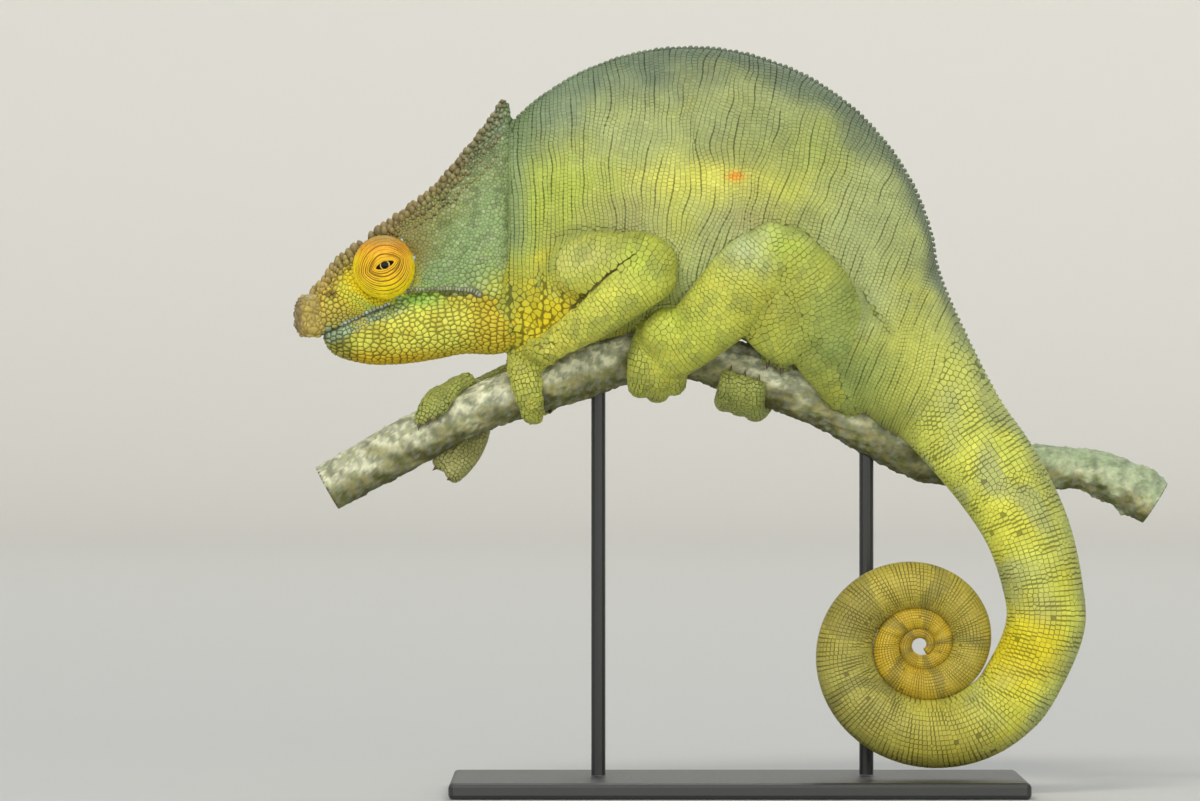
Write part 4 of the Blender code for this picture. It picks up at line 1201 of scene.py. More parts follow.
def sowHeadLines():
    # a gap takes up room like a scale but is left bare, so that the skin, painted dark as shade, shows as a
    # thin line
    sowLine(head["mouth"][:4], 0.7, (0.0,), "#a2a27c", 0.3, 0.1, 0)
    sowLine(creases[0][0], 0.7, (0.0,), "#8f8a3c", 0.3, 0.12, 0, sides=(-1,))
    # rows that stand out on the head come next, so that the others keep clear of them
    sowLine(head["lip"], 1.45, (1.0,), "#c8d8cc", 0.9, 0.4, 1.25)
    sowLine(head["lip"], 1.5, (-1.1, -2.5), "#a8bd96", 0.95, 0.32, 1.35)
    sowLine(head["temple"], 1.1, (0.0,), "#a3a98c", 0.7, 0.42, 1.0)
    x, _, z = eye["centre"]
    behind = np.radians((-46, -38, -30, 1, 17, 33, 55))
    ring = [(x + 11.5 * math.cos(a), z + 12.0 * math.sin(a)) for a in behind]
    sowLine(ring, 2.6, (0.0,), "#b4c2bd", 0.9, 0.5, 1.1)


def sowBody():
    flank = ("body", coat["flankStart"], coat["flankEnd"], coat["trunkWide"])
    sowLoft("body", *flank, coat["trunkHigh"], bodyTone,
            coat["rise"], coat["groove"], coat["cross"], 0.0, 0.07, coat["sway"])
    sowFolds(*flank, coat["sway"])
    sowLoft("tail", "body", coat["flankEnd"], tailEnd - 0.5,
            tailWidth, lambda place: 1.2 * tailWidth(place), bodyTone,
            lambda place: 0.05 + 0.05 * tailWidth(place), lambda place: 0.19 * tailWidth(place),
            0.13, 0.0, 0.03)
    sowLoft("jaw", "jaw", 0.05, 9.9, coat["jawWide"], coat["jawHigh"],
            lambda points, places, turns: jawTone(points), 0.42, 0.14, 0.26, 0.45, 0.1)


def sowLimbs():
    foot = coat["foot"]
    for name in (*limbs, "calf_left", "calf_right", *toeLines):
        _, first, last = lofts[name]
        # even plates on toes, hands and feet, standing out most on the toes, and long rows up the limb
        if name in toeLines:
            settings = ("paw", name, 0.2, last - 0.05, foot, foot)
            relief = (0.22, 0.15, 0.12, 0.08, 0.2)
        elif name.startswith(("hand", "foot")):
            settings = ("paw", name, first + 0.1, last - 0.1, foot, foot)
            relief = (0.16, 0.14, 0.08, 0.0, 0.22)
        else:
            settings = ("limb", name, first + 0.1, last - 0.1, coat["limbWide"], coat["limbHigh"])
            relief = (0.12, 0.16, 0.02, 0.0, 0.12)
        sowLoft(*settings, lambda points, places, turns: limbTone(points, name), *relief)


sowHeadLines()
sowBody()
sowLimbs()


def picked(table, which):
    return {key: value[which] for key, value in table.items()}


def gathered(parts):
    return {key: np.concatenate([part[key] for part in parts]) for key in parts[0]}


def treeOf(points):
    tree = KDTree(len(points))
    for k, point in enumerate(points):
        tree.insert(point, k)
    tree.balance()
    return tree


def thinned(points, clear, first=0):
    # keeps the earlier of any two roots that are closer than the later one's clearance
    tree, alive = treeOf(points), np.ones(len(points), bool)
    widest = clear.max()
    for k, point in enumerate(points):
        if not alive[k]:
            continue
        for _, other, distance in tree.find_range(point, widest):
            if other > k and other >= first and distance < clear[other]:
                alive[other] = False
    return alive


def underTurret(points):
    return (eyeShare(points) < 1.0) & (np.abs(points[:, 1]) > 8) & (points[:, 0] < -110)


def isHead(points):
    return (points[:, 0] < -84) & (points[:, 2] > 155)


def settledRows():
    # scales of one loft that are buried in another, or under the eye, have no skin near them
    rows = gathered(seeds)
    found, normals, near = onSkin(rows["point"], coat["reach"])
    near &= (normals * rows["out"]).sum(1) > np.where(rows["zone"] == "limb", 0.5, 0.0)
    deep = np.linalg.norm(found - rows["point"], axis=1) > 1.0
    near &= ~((rows["zone"] == "gap") & deep & (found[:, 0] > -84))
    rows = picked({**rows, "point": found, "normal": normals}, near & ~underTurret(found))
    rows = picked(rows, thinned(rows["point"], rows["clear"]))
    print("rows of scales:", len(rows["point"]))
    return rows


def strewnScales(rows):
    # the head, and the creases between parts, are filled from points strewn over the skin
    strewn = skinPoints[rng.permutation(len(skinPoints))]
    onHead = isHead(strewn)
    loose = np.vstack([strewn[onHead]] * 3)
    loose = onSkin(loose + rng.uniform(-0.7, 0.7, loose.shape), 3.0)[0]
    strewn = np.vstack([loose, strewn[~onHead]])
    strewn = strewn[~underTurret(strewn)]
    onHead = isHead(strewn)
    real = np.flatnonzero(rows["zone"] != "gap")
    tree = treeOf(rows["point"][real])
    beside = real[[tree.find(point)[1] for point in strewn]]
    size = np.where(onHead, headSpacing(strewn), 1.9)
    size = np.where(onHead & (rows["zone"][beside] == "jaw"), 2.2, size)
    size = np.where(strewn[:, 2] < 118, 1.3, size)
    old = len(rows["point"])
    clear = np.concatenate([np.zeros(old), size * np.where(onHead, 0.8, 0.86)])
    alive = thinned(np.vstack([rows["point"], strewn]), clear, old)[old:]
    strewn, size, onHead = strewn[alive], size[alive], onHead[alive]
    x, z = strewn[:, 0], strewn[:, 2]
    found, normals, _ = onSkin(strewn, 1.0)
    several = real[[[each[1] for each in tree.find_n(point, 5)] for point in strewn]]
    nearest = several[:, 0]
    # at the throat and chin, and off the head, a scale takes the tone of the rows beside it
    throat = (x > -100) & (z < 182)
    chin = (rows["zone"][nearest] == "jaw") & (z < np.where(x < -143, 171, 184))
    ownTone = onHead & ~throat & ~chin
    tones = np.where(ownTone[:, None], headTone(strewn), np.median(rows["tone"][several], axis=1))
    # plates stand out along the crest, on the snout and low on the cheek
    top = lineAway(x, z, crestLine)
    crest = onHead * (1 - ramp(2.0, 7.0, top))
    snout = onHead * (1 - ramp(-146, -138, x))
    low = onHead * (1 - ramp(188, 194, z)) * ramp(-104, -98, x)
    rise = 0.1 + 0.06 * onHead + 0.25 * low + 0.45 * crest + 0.3 * snout
    ways = unit(np.cross(normals, (0.0, 1.0, 0.0)) + 1e-6)
    ways = np.where(onHead[:, None], ways, rows["way"][nearest])
    narrow = np.full(len(strewn), 0.1)
    print("strewn scales:", len(strewn))
    return dict(
        zone=np.where(onHead, "head", rows["zone"][nearest]), point=found, way=ways, out=normals,
        tone=tones, size=size, clear=size, rise=rise, groove=narrow, cross=narrow,
        peak=np.clip(0.2 * onHead + 0.8 * crest + 0.4 * low + 0.5 * snout, 0, 1),
        uv=np.column_stack([(x + 160) / 330, z / 290]), normal=normals,
    )


rowScales = settledRows()
scales = gathered([rowScales, strewnScales(rowScales)])


def cornerAngles(distanceTo, count, ways):
    # the directions in which the nearest edge passes from one neighbour to the next: where a plate has fewer
    # corners than it has points, the widest gaps between them are halved
    steps = 60
    sweep = np.arange(steps) * fullTurn / steps
    nearest = np.stack([distanceTo(np.full((count, 1), angle)).argmin(1) for angle in sweep], axis=1)
    turning = nearest != np.roll(nearest, -1, axis=1)
    corners = turning.sum(1)
    angles = np.tile(np.arange(ways) * fullTurn / ways, (count, 1))
    for number in range(3, int(corners.max()) + 1):
        rows = np.flatnonzero(corners == number)
        spots = sweep[np.nonzero(turning[rows])[1].reshape(len(rows), number)] + fullTurn / (2 * steps)
        while spots.shape[1] != ways and len(rows):
            gaps = (np.roll(spots, -1, axis=1) - spots) % fullTurn
            one = np.arange(len(rows))
            if spots.shape[1] < ways:
                widest = gaps.argmax(1)
                spots = np.column_stack([spots, spots[one, widest] + gaps[one, widest] / 2])
            else:
                kept = np.ones_like(spots, bool)
                kept[one, gaps.argmin(1)] = False
                spots = spots[kept].reshape(len(rows), -1)
            spots = np.sort(spots % fullTurn, axis=1)
        angles[rows] = spots
    return angles


def cellRadii(ways):
    # in each direction, the distance to the nearest edge, which lies half-way to a neighbour less half the
    # groove, or beside a bare line half the line's width short of it
    points, normals = scales["point"], scales["normal"]
    tree, count = treeOf(points), coat["neighbours"] + 1
    near = np.array([[found[1] for found in tree.find_n(point, count)][1:] for point in points])
    offset = points[near] - points[:, None]
    ahead = unit(scales["way"] - normals * (scales["way"] * normals).sum(1, keepdims=True))
    across = np.cross(normals, ahead)
    flat = np.stack([(offset * ahead[:, None]).sum(-1), (offset * across[:, None]).sum(-1)], axis=-1)
    reach = np.linalg.norm(flat, axis=-1)
    facing = (normals[near] * normals[:, None]).sum(-1) > 0.25
    slope = np.abs(flat[..., 0]) / np.maximum(reach, 1e-6)
    gap = scales["cross"][:, None] + (scales["groove"] - scales["cross"])[:, None] * slope**2
    bare = reach - scales["rise"][near]
    edge = np.where((scales["zone"] == "gap")[near], bare, np.maximum(reach - gap, 0.12) / 2)
    edge = np.where(facing & (reach > 0.05), np.maximum(edge, 0.06), 1e9)
    heading = flat / np.maximum(reach, 1e-6)[..., None]

    def distanceTo(angle):
        cosine = heading[..., 0] * np.cos(angle) + heading[..., 1] * np.sin(angle)
        return np.where(cosine > 0.05, edge / np.maximum(cosine, 0.05), 1e9)

    even = np.tile(np.arange(ways) * fullTurn / ways, (len(points), 1))
    angles = np.where(scales["round"][:, None], even, cornerAngles(distanceTo, len(points), ways))
    radii = np.stack([distanceTo(angle[:, None]).min(1) for angle in angles.T], axis=1)
    return np.minimum(radii, 0.95 * scales["size"][:, None]), angles, ahead, across


def scaleMesh(name, part, radii, angles, ahead, across, rows):
    # each scale is a low plate: a rim sunk in the skin, a shoulder, a crown and a middle, closed underneath
    ways = radii.shape[1]
    way = np.cos(angles)[..., None] * ahead[:, None] + np.sin(angles)[..., None] * across[:, None]
    # round scales lose a little of their corners
    radii = radii - 0.08 * part["round"][:, None] * (radii - radii.min(1, keepdims=True))
    peak, rise = part["peak"][:, None], part["rise"][:, None]
    height = np.minimum(rise, 0.75 * radii.mean(1, keepdims=True))
    # each ring's share of the radius, its height and how light it is painted: the sunk rim darker as painted
    # shade, the crown a little lighter as a painted highlight
    levels = [
        (np.ones_like(peak), -coat["sink"] * np.ones_like(peak), 0.9 - 0.17 * peak),
        (0.955 - 0.21 * peak, height * (0.94 - 0.38 * peak), np.ones_like(peak)),
        (0.5 - 0.05 * peak, height * (1.0 - 0.08 * peak), 1 + 0.03 * peak),
    ][:rows]
    rings, tones = [], []
    for share, lift, light in levels:
        ring = part["point"][:, None] + way * (radii * share)[..., None]
        rings.append(ring + part["normal"][:, None] * lift[..., None])
        tones.append(np.repeat((part["tone"] * light)[:, None], ways, axis=1))
    middle = part["point"] + part["normal"] * (height * (1.04 + 0.1 * peak))
    mesh = capsMesh(name, np.concatenate([*rings, middle[:, None]], axis=1), ways)
    # the middle is painted 4% lighter, as a painted highlight
    tones = np.concatenate([*tones, part["tone"][:, None] * 1.04], axis=1)
    paint(mesh, np.clip(tones.reshape(-1, 3), 0, 1))
    # flat plates keep their edges, and round ones are shaded smooth
    faces = ((rows - 1) * ways, ways, 1)
    smooth = np.concatenate([np.repeat(part["round"], each) for each in faces])
    mesh.polygons.foreach_set("use_smooth", smooth)
    # each scale is a small patch of the map at its root's place on the unwrapped loft
    spread = np.concatenate([np.full(ways, share) for share in (1.0, 0.8, 0.5)[:rows]] + [[0.0]])
    turn = np.concatenate([np.arange(ways) * fullTurn / ways] * rows + [[0.0]])
    local = np.stack([spread * np.cos(turn), spread * np.sin(turn)], axis=1) * coat["patch"] / 2
    uv = (0.004 + 0.992 * part["uv"])[:, None] + local[None]
    corners = readRows(mesh.loops, "vertex_index", np.int32, 1).ravel()
    layer = mesh.uv_layers.new(name="OFBake")
    layer.uv.foreach_set("vector", uv.reshape(-1, 2)[corners].astype(np.float32).ravel())
    return mesh


scaleSkin = scaleFinish("scale_skin_airbrushed", 0.52, 0.5, 14, 0.35)
bareSkin = scaleFinish("skin_between_scales", 0.7, 0.4, 14, 0.3)


def pieceNames():
    # the coat is parted by zone and side, so that no piece is too large
    x, y, z = scales["point"].T
    zone = np.where(np.isin(scales["zone"], ["line", "head", "jaw"]), "head", scales["zone"])
    zone = np.where(zone == "paw", "limb", zone)
    zone = np.where((zone == "body") & (x > 5), "hips", np.where(zone == "body", "trunk", zone))
    zone = np.where((zone == "tail") & (z < 90), "coil", zone)
    left = np.where(np.isin(zone, ["coil", "tail"]), y < -22, y < 0)
    names = np.char.add(np.char.add("scales_", zone.astype(str)), np.where(left, "_left", "_right"))
    return np.where(scales["zone"] == "gap", "", names)


def dressScales():
    names = pieceNames()
    jitter = rng.normal(1, 0.045, (len(names), 1)) * (1 + rng.normal(0, 0.012, (len(names), 3)))
    dark = (rng.uniform(0, 1, (len(names), 1)) < 0.004) & (scales["zone"] == "tail")[:, None]
    scales["tone"] = scales["tone"] * jitter * np.where(dark, 0.45, 1.0)
    scales["round"] = scales["peak"] > 0.1
    fine, coarse = cellRadii(coat["headCorners"]), cellRadii(coat["corners"])
    total = 0
    for name in sorted(set(names) - {""}):
        pick = names == name
        cells, rings = (fine, 3) if "head" in name else (coarse, 2)
        mesh = scaleMesh(name, picked(scales, pick), *(each[pick] for each in cells), rings)
        placePiece(name, mesh, scaleSkin, "skin")
        total += triangleCount(mesh)
        print(name, pick.sum(), "scales,", triangleCount(mesh), "triangles")
    print("coat:", total, "triangles")


def dressSkin():
    # the skin between the scales carries the same markings, painted darker as shade in the gaps
    tree = treeOf(scales["point"])
    nearest = [tree.find(point)[1] for point in skinPoints]
    upper = (skinPoints[:, 0] < -84) & (skinPoints[:, 2] > 184)
    paint(skinMesh, scales["tone"][nearest] * np.where(upper, skin["headShade"], skin["shade"])[:, None])
    flesh = [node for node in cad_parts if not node.startswith(("eye", "horn", "perch", "stand"))]
    placePiece("skin", skinMesh, bareSkin, "skin", *flesh)


dressSkin()
dressScales()


# the eyes: turrets of fused lids with rings of folds, and the eyeballs behind their slits
eyelid = dict(
    slitLong=3.5, slitTall=1.35, tilt=21, rings=180, sides=200, reach=104, radius=11.2, inset=0.1,
    offset=(0.45, 0.6),     # how far the slit lies behind and above the turret's middle
    # each fold: place from the slit (0) to the base (1), depth, and how much of it runs over the top
    folds=(
        (0.035, 0.22, 0.8), (0.085, 0.34, 0.5), (0.15, 0.42, 0.95), (0.244, 0.42, 0.3), (0.354, 0.44, 0.9),
        (0.461, 0.4, 0.35), (0.565, 0.3, 0.6),
    ),
    sideFolds=(0.118, 0.197, 0.3, 0.408, 0.515), foldWidth=0.0125,
)
turretSkin = scaleFinish("eyelid_skin_airbrushed", 0.5, 0.55, 5, 0.55)


def roundSide(polar, turn, side):
    # directions at an angle from one side of the animal, at each turn round it
    out = np.sin(polar)
    sideways = np.cos(polar) * side * np.ones_like(turn)
    return np.stack([out * np.cos(turn), sideways, out * np.sin(turn)], axis=-1)


def turretPiece(side, word):
    x, y, z = eye["centre"]
    half = np.array(eye["half"])
    share = np.linspace(0, 1, eyelid["rings"])[:, None]
    turn = turnsRound(eyelid["sides"])[None, :]
    tilt = math.radians(eyelid["tilt"])
    # the slit is a lens with two corners: 1 / (|cos| / half length + |sin|^1.5 / half height)
    level, upright = np.abs(np.cos(turn - tilt)), np.abs(np.sin(turn - tilt))
    lens = 1 / (level / eyelid["slitLong"] + upright**1.5 / eyelid["slitTall"])
    start = np.degrees(lens / eyelid["radius"])
    polar = np.radians(start + (eyelid["reach"] - start) * share)
    high = (1 + np.sin(turn - tilt * 0.5)) / 2
    wobble = 0.005 * np.sin(2 * turn + 1) + 0.004 * np.sin(3 * turn + 9 * share)

    def fold(spot, sway, depth):
        return depth * bell(share - (spot + sway * wobble + 0.02 * level**2), eyelid["foldWidth"])

    rings = [fold(spot, 1, (1 - (1 - over) * ramp(0.45, 0.8, high)) * depth)
             for spot, depth, over in eyelid["folds"]]
    groove = sum(rings + [fold(spot, 1.6, 0.3 * ramp(0.35, 0.9, level)) for spot in eyelid["sideFolds"]])
    # the lid's rim stands up round the slit and turns in at it
    push = 0.25 * bell(share - 0.03, 0.03) - 0.5 * bell(share, 0.012) - groove
    size = half + push[..., None] - eyelid["inset"]
    points = np.array([x, side * y, z]) + roundSide(polar, turn, side) * size
    behind, above = eyelid["offset"]
    points = points + np.array([behind, 0, above]) * (1 - ramp(0.0, 0.75, share))[..., None]
    flat = points.reshape(-1, 3)
    height = (flat[:, 2] - z) / half[2]
    near = np.broadcast_to(share, points.shape[:2]).ravel()
    # orange in the middle, brown on top, yellow below and outside, the outer skirt's lower part painted
    # lighter as painted light; the folds painted dark as shade in their grooves, and the rim painted black as
    # shade at the slit
    colours = layered(
        "#ffcb24", flat,
        ("#e09c30", ramp(0.1, 0.7, height) * 0.85),
        ("#b99748", ramp(0.6, 0.92, height)),
        ("#ffe40e", 1 - ramp(-0.8, -0.15, height)),
        ("#ffe41a", ramp(0.4, 0.52, near) * (1 - ramp(0.1, 0.6, height)) * 0.8),
        ("#6a4410", np.clip(groove.ravel() / 0.3, 0, 1) * 0.9),
        ("#2c1c0a", 1 - ramp(0.0, 0.012, near)),
    )
    colours = colours * (1 + 0.06 * drift(flat, 1.3, 51) * ramp(0.0, 0.2, near))[:, None]
    # the skirt of the turret is granular
    grain = np.clip(drift(flat, 1.25, 52), -1, 1) * ramp(0.5, 0.6, near)
    flat = flat + unit(flat - (x, side * y, z)) * (0.14 * grain)[:, None]
    mesh = makeMesh(f"eye_turret_{word}", flat, (gridFaces(*points.shape[:2])[:, :: int(-side)],))
    paint(mesh, np.clip(colours, 0, 1))
    placePiece(f"eye_turret_{word}", mesh, turretSkin, "eye_turret", f"eye_{word}")


def corneaFinish():
    # glass eye, blown and painted from behind: black pupil, thin ring of pale gold, brown beyond
    material, tree, principled = newMaterial(
        "glass_eye_painted", Roughness=0.06, IOR=1.38, Specular_IOR_Level=0.2
    )
    tone = addNode(tree, "Attribute", attribute_name="tone").outputs["Color"]
    tree.links.new(tone, principled.inputs["Base Color"])
    return material


glassEye = corneaFinish()
eyeball = dict(radius=5.6, rings=90, sides=96, depth=0.55)


def eyeballPiece(side, word):
    x, y, z = eye["centre"]
    x, z = x + eyelid["offset"][0], z + eyelid["offset"][1]
    radius = eyeball["radius"]
    outer = y + eye["half"][1] - eyeball["depth"]
    polar = np.linspace(0, math.pi, eyeball["rings"] + 2)[1:-1][:, None]
    turn = turnsRound(eyeball["sides"])[None, :]
    points, quads, triangles = closedGrid(np.stack([
        x + radius * np.sin(polar) * np.cos(turn),
        side * (outer - radius + radius * np.cos(polar)) * np.ones_like(turn),
        z + radius * np.sin(polar) * np.sin(turn),
    ], axis=-1))
    away = np.hypot(points[:, 0] - x, points[:, 2] - z)
    mesh = closedMesh(f"eyeball_{word}", points, quads, triangles)
    paint(mesh, layered("#050505", points, ("#d9c07a", ramp(1.35, 1.45, away) * (1 - ramp(1.75, 1.9, away))),
                        ("#20140a", ramp(1.8, 1.95, away))))
    placePiece(f"eyeball_{word}", mesh, glassEye, "eye_turret")


for side, word in bothSides:
    turretPiece(side, word)
    eyeballPiece(side, word)
print("eyes made")


# knobs of horn: on the snout's tip, along the casque's edge and down the spine
knob = dict(
    sides=10, tipHighlight=1.25,
    # for each ring of points: share of the width, share of the height, and how light it is painted: painted
    # shade at the base, lighter up to a painted highlight at the tip
    levels=((1.0, -0.35, 0.55), (1.0, 0.1, 0.7), (0.82, 0.5, 0.95), (0.5, 0.82, 1.1), (0.2, 0.97, 1.2)),
)
hornPlate = scaleFinish("horn_plates_waxed", 0.34, 0.6, 6, 0.4)


def knobMesh(name, roots, ups, ways, lengths, widths, heights, tones, lean=0.0):
    # half ellipsoids that may lean along their way: rings of ten points and a tip, closed underneath
    sides = knob["sides"]
    ups, ways = unit(ups), unit(ways - ups * (ways * ups).sum(1, keepdims=True))
    across = np.cross(ups, ways)
    angle = (np.arange(sides) * fullTurn / sides)[None, :, None]
    circle = (np.cos(angle) * (ways * lengths[:, None])[:, None]
              + np.sin(angle) * (across * widths[:, None])[:, None])
    rings = []
    for share, lift, _ in knob["levels"]:
        shift = ups * (heights * lift)[:, None] + ways * (lean * heights * max(lift, 0) ** 1.5)[:, None]
        rings.append(roots[:, None] + circle * share + shift[:, None])
    tip = roots + ups * heights[:, None] + ways * (lean * heights)[:, None]
    mesh = capsMesh(name, np.concatenate([*rings, tip[:, None]], axis=1), sides)
    # painted shade low on each knob and a painted highlight at its tip
    light = np.append(np.repeat([level[2] for level in knob["levels"]], sides), knob["tipHighlight"])
    paint(mesh, np.clip((tones[:, None] * light[None, :, None]).reshape(-1, 3), 0, 1))
    return mesh


def spineBeads():
    # a low saw edge of rounded beads down the back, 2.1 mm apart, fading out on the tail
    fine = np.linspace(0.4, 15, 1500)
    passed = distances(bodyPoint(fine, 0.0, -0.5))
    spots = np.interp(np.arange(1, passed[-1], 2.1), passed, fine)
    roots = bodyPoint(spots, 0.0, -0.4)
    below = bodyPoint(spots, math.pi, 0.0)
    ways = waysAlong(bodyPoint, spots, 0.0, 0.02)
    tones = bodyTone(roots, spots, np.zeros(len(spots))) * rng.uniform(0.85, 1.15, (len(spots), 1))
    fade = 1 - 0.6 * ramp(11, 15, spots)
    mesh = knobMesh("spine_beads", roots, unit(roots - below), ways, 1.05 * fade, 1.1 * fade,
                    rng.uniform(0.85, 1.25, len(spots)) * fade, tones, 0.25)
    placePiece("spine_beads", mesh, scaleSkin, "skin")


casque = dict(
    first=0.55, last=9.7, apart=2.75,
    # rows of tubercles: turn from the middle line, size, and how far along they stop
    rows=((0.12, 0.95, 9.9), (0.3, 1.0, 9.7), (0.55, 0.8, 9.5), (0.8, 0.6, 9.2), (1.02, 0.45, 8.6)),
    # their size by place along the head, and their height for their size by x
    sizes=((0, 2, 4, 5.5, 7.5, 9.0, 9.9), (0.9, 1.2, 1.1, 1.0, 0.95, 0.8, 0.5)),
    tall=((-150, -128, -110, -90), (2.6, 2.4, 2.2, 1.5)),
)


def casqueKnobs():
    # tubercles along both edges of the roof of the head, tallest over the snout and in front of the eyes
    made = []
    for side in (-1, 1):
        fine = np.linspace(casque["first"], casque["last"], 1200)
        passed = distances(headPoint(fine, side * 0.5))
        for turn, share, stop in casque["rows"]:
            spots = np.arange(rng.uniform(0, 1), passed[-1], casque["apart"] * (0.62 + 0.38 * share))
            spots = spots + rng.uniform(-0.4, 0.4, len(spots))
            places = np.interp(spots, passed, fine)
            places = places[places < stop]
            turns = side * (turn + rng.uniform(-0.05, 0.05, len(places)))
            root = headPoint(places, turns, -0.35)
            lift = unit(root - headPoint(places, turns, -3.0)) + np.array((-0.15, 0, 0.9)) * (1.2 - turn)
            forward = headPoint(places - 0.05, turns) - headPoint(places + 0.05, turns)
            size = np.interp(places, *casque["sizes"]) * share * rng.uniform(0.75, 1.2, len(places))
            made.append(dict(root=root, up=lift, way=forward, size=size))
    made = gathered(made)
    roots, ups, ways, sizes = picked(made, eyeShare(made["root"]) > 1.02).values()
    tones = mix(headTone(roots), "#93815c", np.full(len(roots), 0.55))
    tones = tones * rng.uniform(0.8, 1.15, (len(roots), 1))
    tall = np.interp(roots[:, 0], *casque["tall"])
    mesh = knobMesh("casque_tubercles", roots, unit(ups), unit(ways), 1.5 * sizes, 1.25 * sizes, tall * sizes,
                    tones, 0.15)
    placePiece("casque_tubercles", mesh, hornPlate, "horn")


rostral = dict(centre=(-155.9, 5.2, 174.8), half=(7.0, 3.6, 8.4), bed=0.25, rings=70, sides=90, plates=150)


def hornPiece(side, word):
    # one rostral knob: an ellipsoid of large plates, each parted from the next by a groove half a mm wide
    x, y, z = rostral["centre"]
    half = np.array(rostral["half"]) - rostral["bed"]
    polar = np.linspace(0, math.pi, rostral["rings"] + 2)[1:-1][:, None]
    ball = roundSide(polar, turnsRound(rostral["sides"])[None, :], side)
    # a rounded box at the front and a ball at the rear: each direction is raised to a power of 0.7 to 1
    ball = power(ball, 0.7 + 0.3 * ramp(-0.1, 0.6, ball[..., :1]))
    points, quads, triangles = closedGrid(ball * half)
    local = np.random.default_rng(61)
    plates = power(unit(local.normal(size=(rostral["plates"], 3))), 0.8) * half
    reach = np.linalg.norm(points[:, None] - plates[None], axis=-1)
    which, away = reach.argmin(1), np.sort(reach, axis=1)
    edge = away[:, 1] - away[:, 0]
    push = local.uniform(0.25, 1.05, rostral["plates"])[which] * ramp(0, 1.1, edge) - 0.65
    points = np.array((x, side * y, z)) + points + unit(points / half**2) * push[:, None]
    tones = layered("#b4a052", points) * local.uniform(0.82, 1.12, rostral["plates"])[which][:, None]
    # darker in front, paler on top as painted light, and darkest in the grooves as painted shade
    tones = layered(
        tones, points,
        ("#84735a", (1 - ramp(-161.5, -157.5, points[:, 0])) * 0.9),
        ("#c5b88c", ramp(5.0, 7.5, points[:, 2] - z) * 0.6),
        ("#6b5c30", (1 - ramp(0.0, 0.5, edge)) * 0.75),
    )
    mesh = closedMesh(f"rostral_knob_{word}", points, quads, triangles)
    paint(mesh, np.clip(tones, 0, 1))
    placePiece(f"rostral_knob_{word}", mesh, hornPlate, "horn", f"horn_{word}")


spineBeads()
casqueKnobs()
for side, word in bothSides:
    hornPiece(side, word)


# claws
claw = dict(length=2.9, radius=1.15, hook=1.2, rings=16, sides=16)
# dark horn, cast and polished by wear
clawHorn = newMaterial("claw_horn", Base_Color=rgba("#5c5038"), Roughness=0.3, IOR=1.54)[0]


def clawPiece():
    # tapered hooks: the middle line runs on from the toe and bends by hook * share^2, and the tip keeps 6% of
    # the radius
    parts = []
    share = np.linspace(0, 1, claw["rings"])[:, None]
    turns = turnsRound(claw["sides"])[None, :, None]
    radius = claw["radius"] * (1 - 0.94 * share**1.3)
    for line in toeLines.values():
        tip, before, older = line[-1, :3], line[-2, :3], line[-3, :3]
        heading = unit(tip - before)
        bend = unit(heading - unit(before - older) + heading * 1e-3)
        start = tip + heading * line[-1, 3] * 0.35
        middle = start + heading * claw["length"] * share + bend * claw["hook"] * share**2
        thin = unit(np.cross(heading, toeTilt))
        tall = np.cross(heading, thin)
        oval = np.cos(turns) * thin * 0.8 + np.sin(turns) * tall
        parts.append(closedGrid(middle[:, None] + radius[..., None] * oval))
    placePiece("claws", closedMesh("claws", *joined(parts)), clawHorn, "horn")


clawPiece()
print("knobs and claws made")


# the branch: bark with ridges and warts, and its sawn ends
def barkFinish():
    # dry branch in its own bark: grey-green and lichened, paler on top and mossy brown-green underneath,
    # which is also painted light above and painted shade beneath; never glossy
    material, tree, principled = newMaterial("lichened_bark_painted_light", IOR=1.4)
    where = objectPlace(tree)
    tint(tree, principled, where, 7, 6.0, 0.7, (0.32, 0.68), (0.6, 1.35))
    roughen(tree, principled, where, 1.1, 5.0, 0.75, (0.75, 0.98), 0.8, 0.6)
    return material


def barkTones(flat, above, lichen):
    # pale lichen above and moss beneath, also painted light on top and painted shade underneath; blotches of
    # both, and greener towards the rear
    return layered(
        "#9b9767", flat,
        ("#e2e3c4", ramp(-0.4, 0.4, above + 0.3 * drift(flat, 12, 76)) * 0.95),
        ("#5b5a2c", (1 - ramp(-0.9, -0.3, above + 0.35 * drift(flat, 9, 77))) * 0.9),
        ("#6a7440", ramp(0.15, 0.5, drift(flat, 7, 78) + 0.6 * drift(flat, 2.2, 81)) * 0.55),
        ("#8a8f7c", ramp(0.2, 0.5, drift(flat, 4, 82) + 0.5 * drift(flat, 1.3, 83)) * 0.6),
        ("#9db38c", ramp(60, 110, flat[:, 0]) * ramp(-0.4, 0.4, above) * 0.7),
        ("#b4c09c", np.clip(lichen * 1.4, 0, 1) * 0.75),
    )


def sawnEnd(edge, heading, out):
    # a disc of rings inside the branch's last ring, with a slight dish, growth rings and a rim of bark
    share = np.linspace(1, 0.02, branch["endRings"])[:, None, None]
    middle = edge.mean(0)
    disc = middle + (edge[None] - middle) * share + heading * out * 0.25 * (1 - share**2)
    reach = np.linalg.norm(disc - middle, axis=-1).ravel()
    disc = disc.reshape(-1, 3)
    growth = 0.5 + 0.5 * np.sin(reach * fullTurn / 0.9 + drift(disc, 5, 79))
    return disc, layered("#b79f6c", disc, ("#8d7040", growth), ("#4a3d22", ramp(7.6, 8.2, reach)))


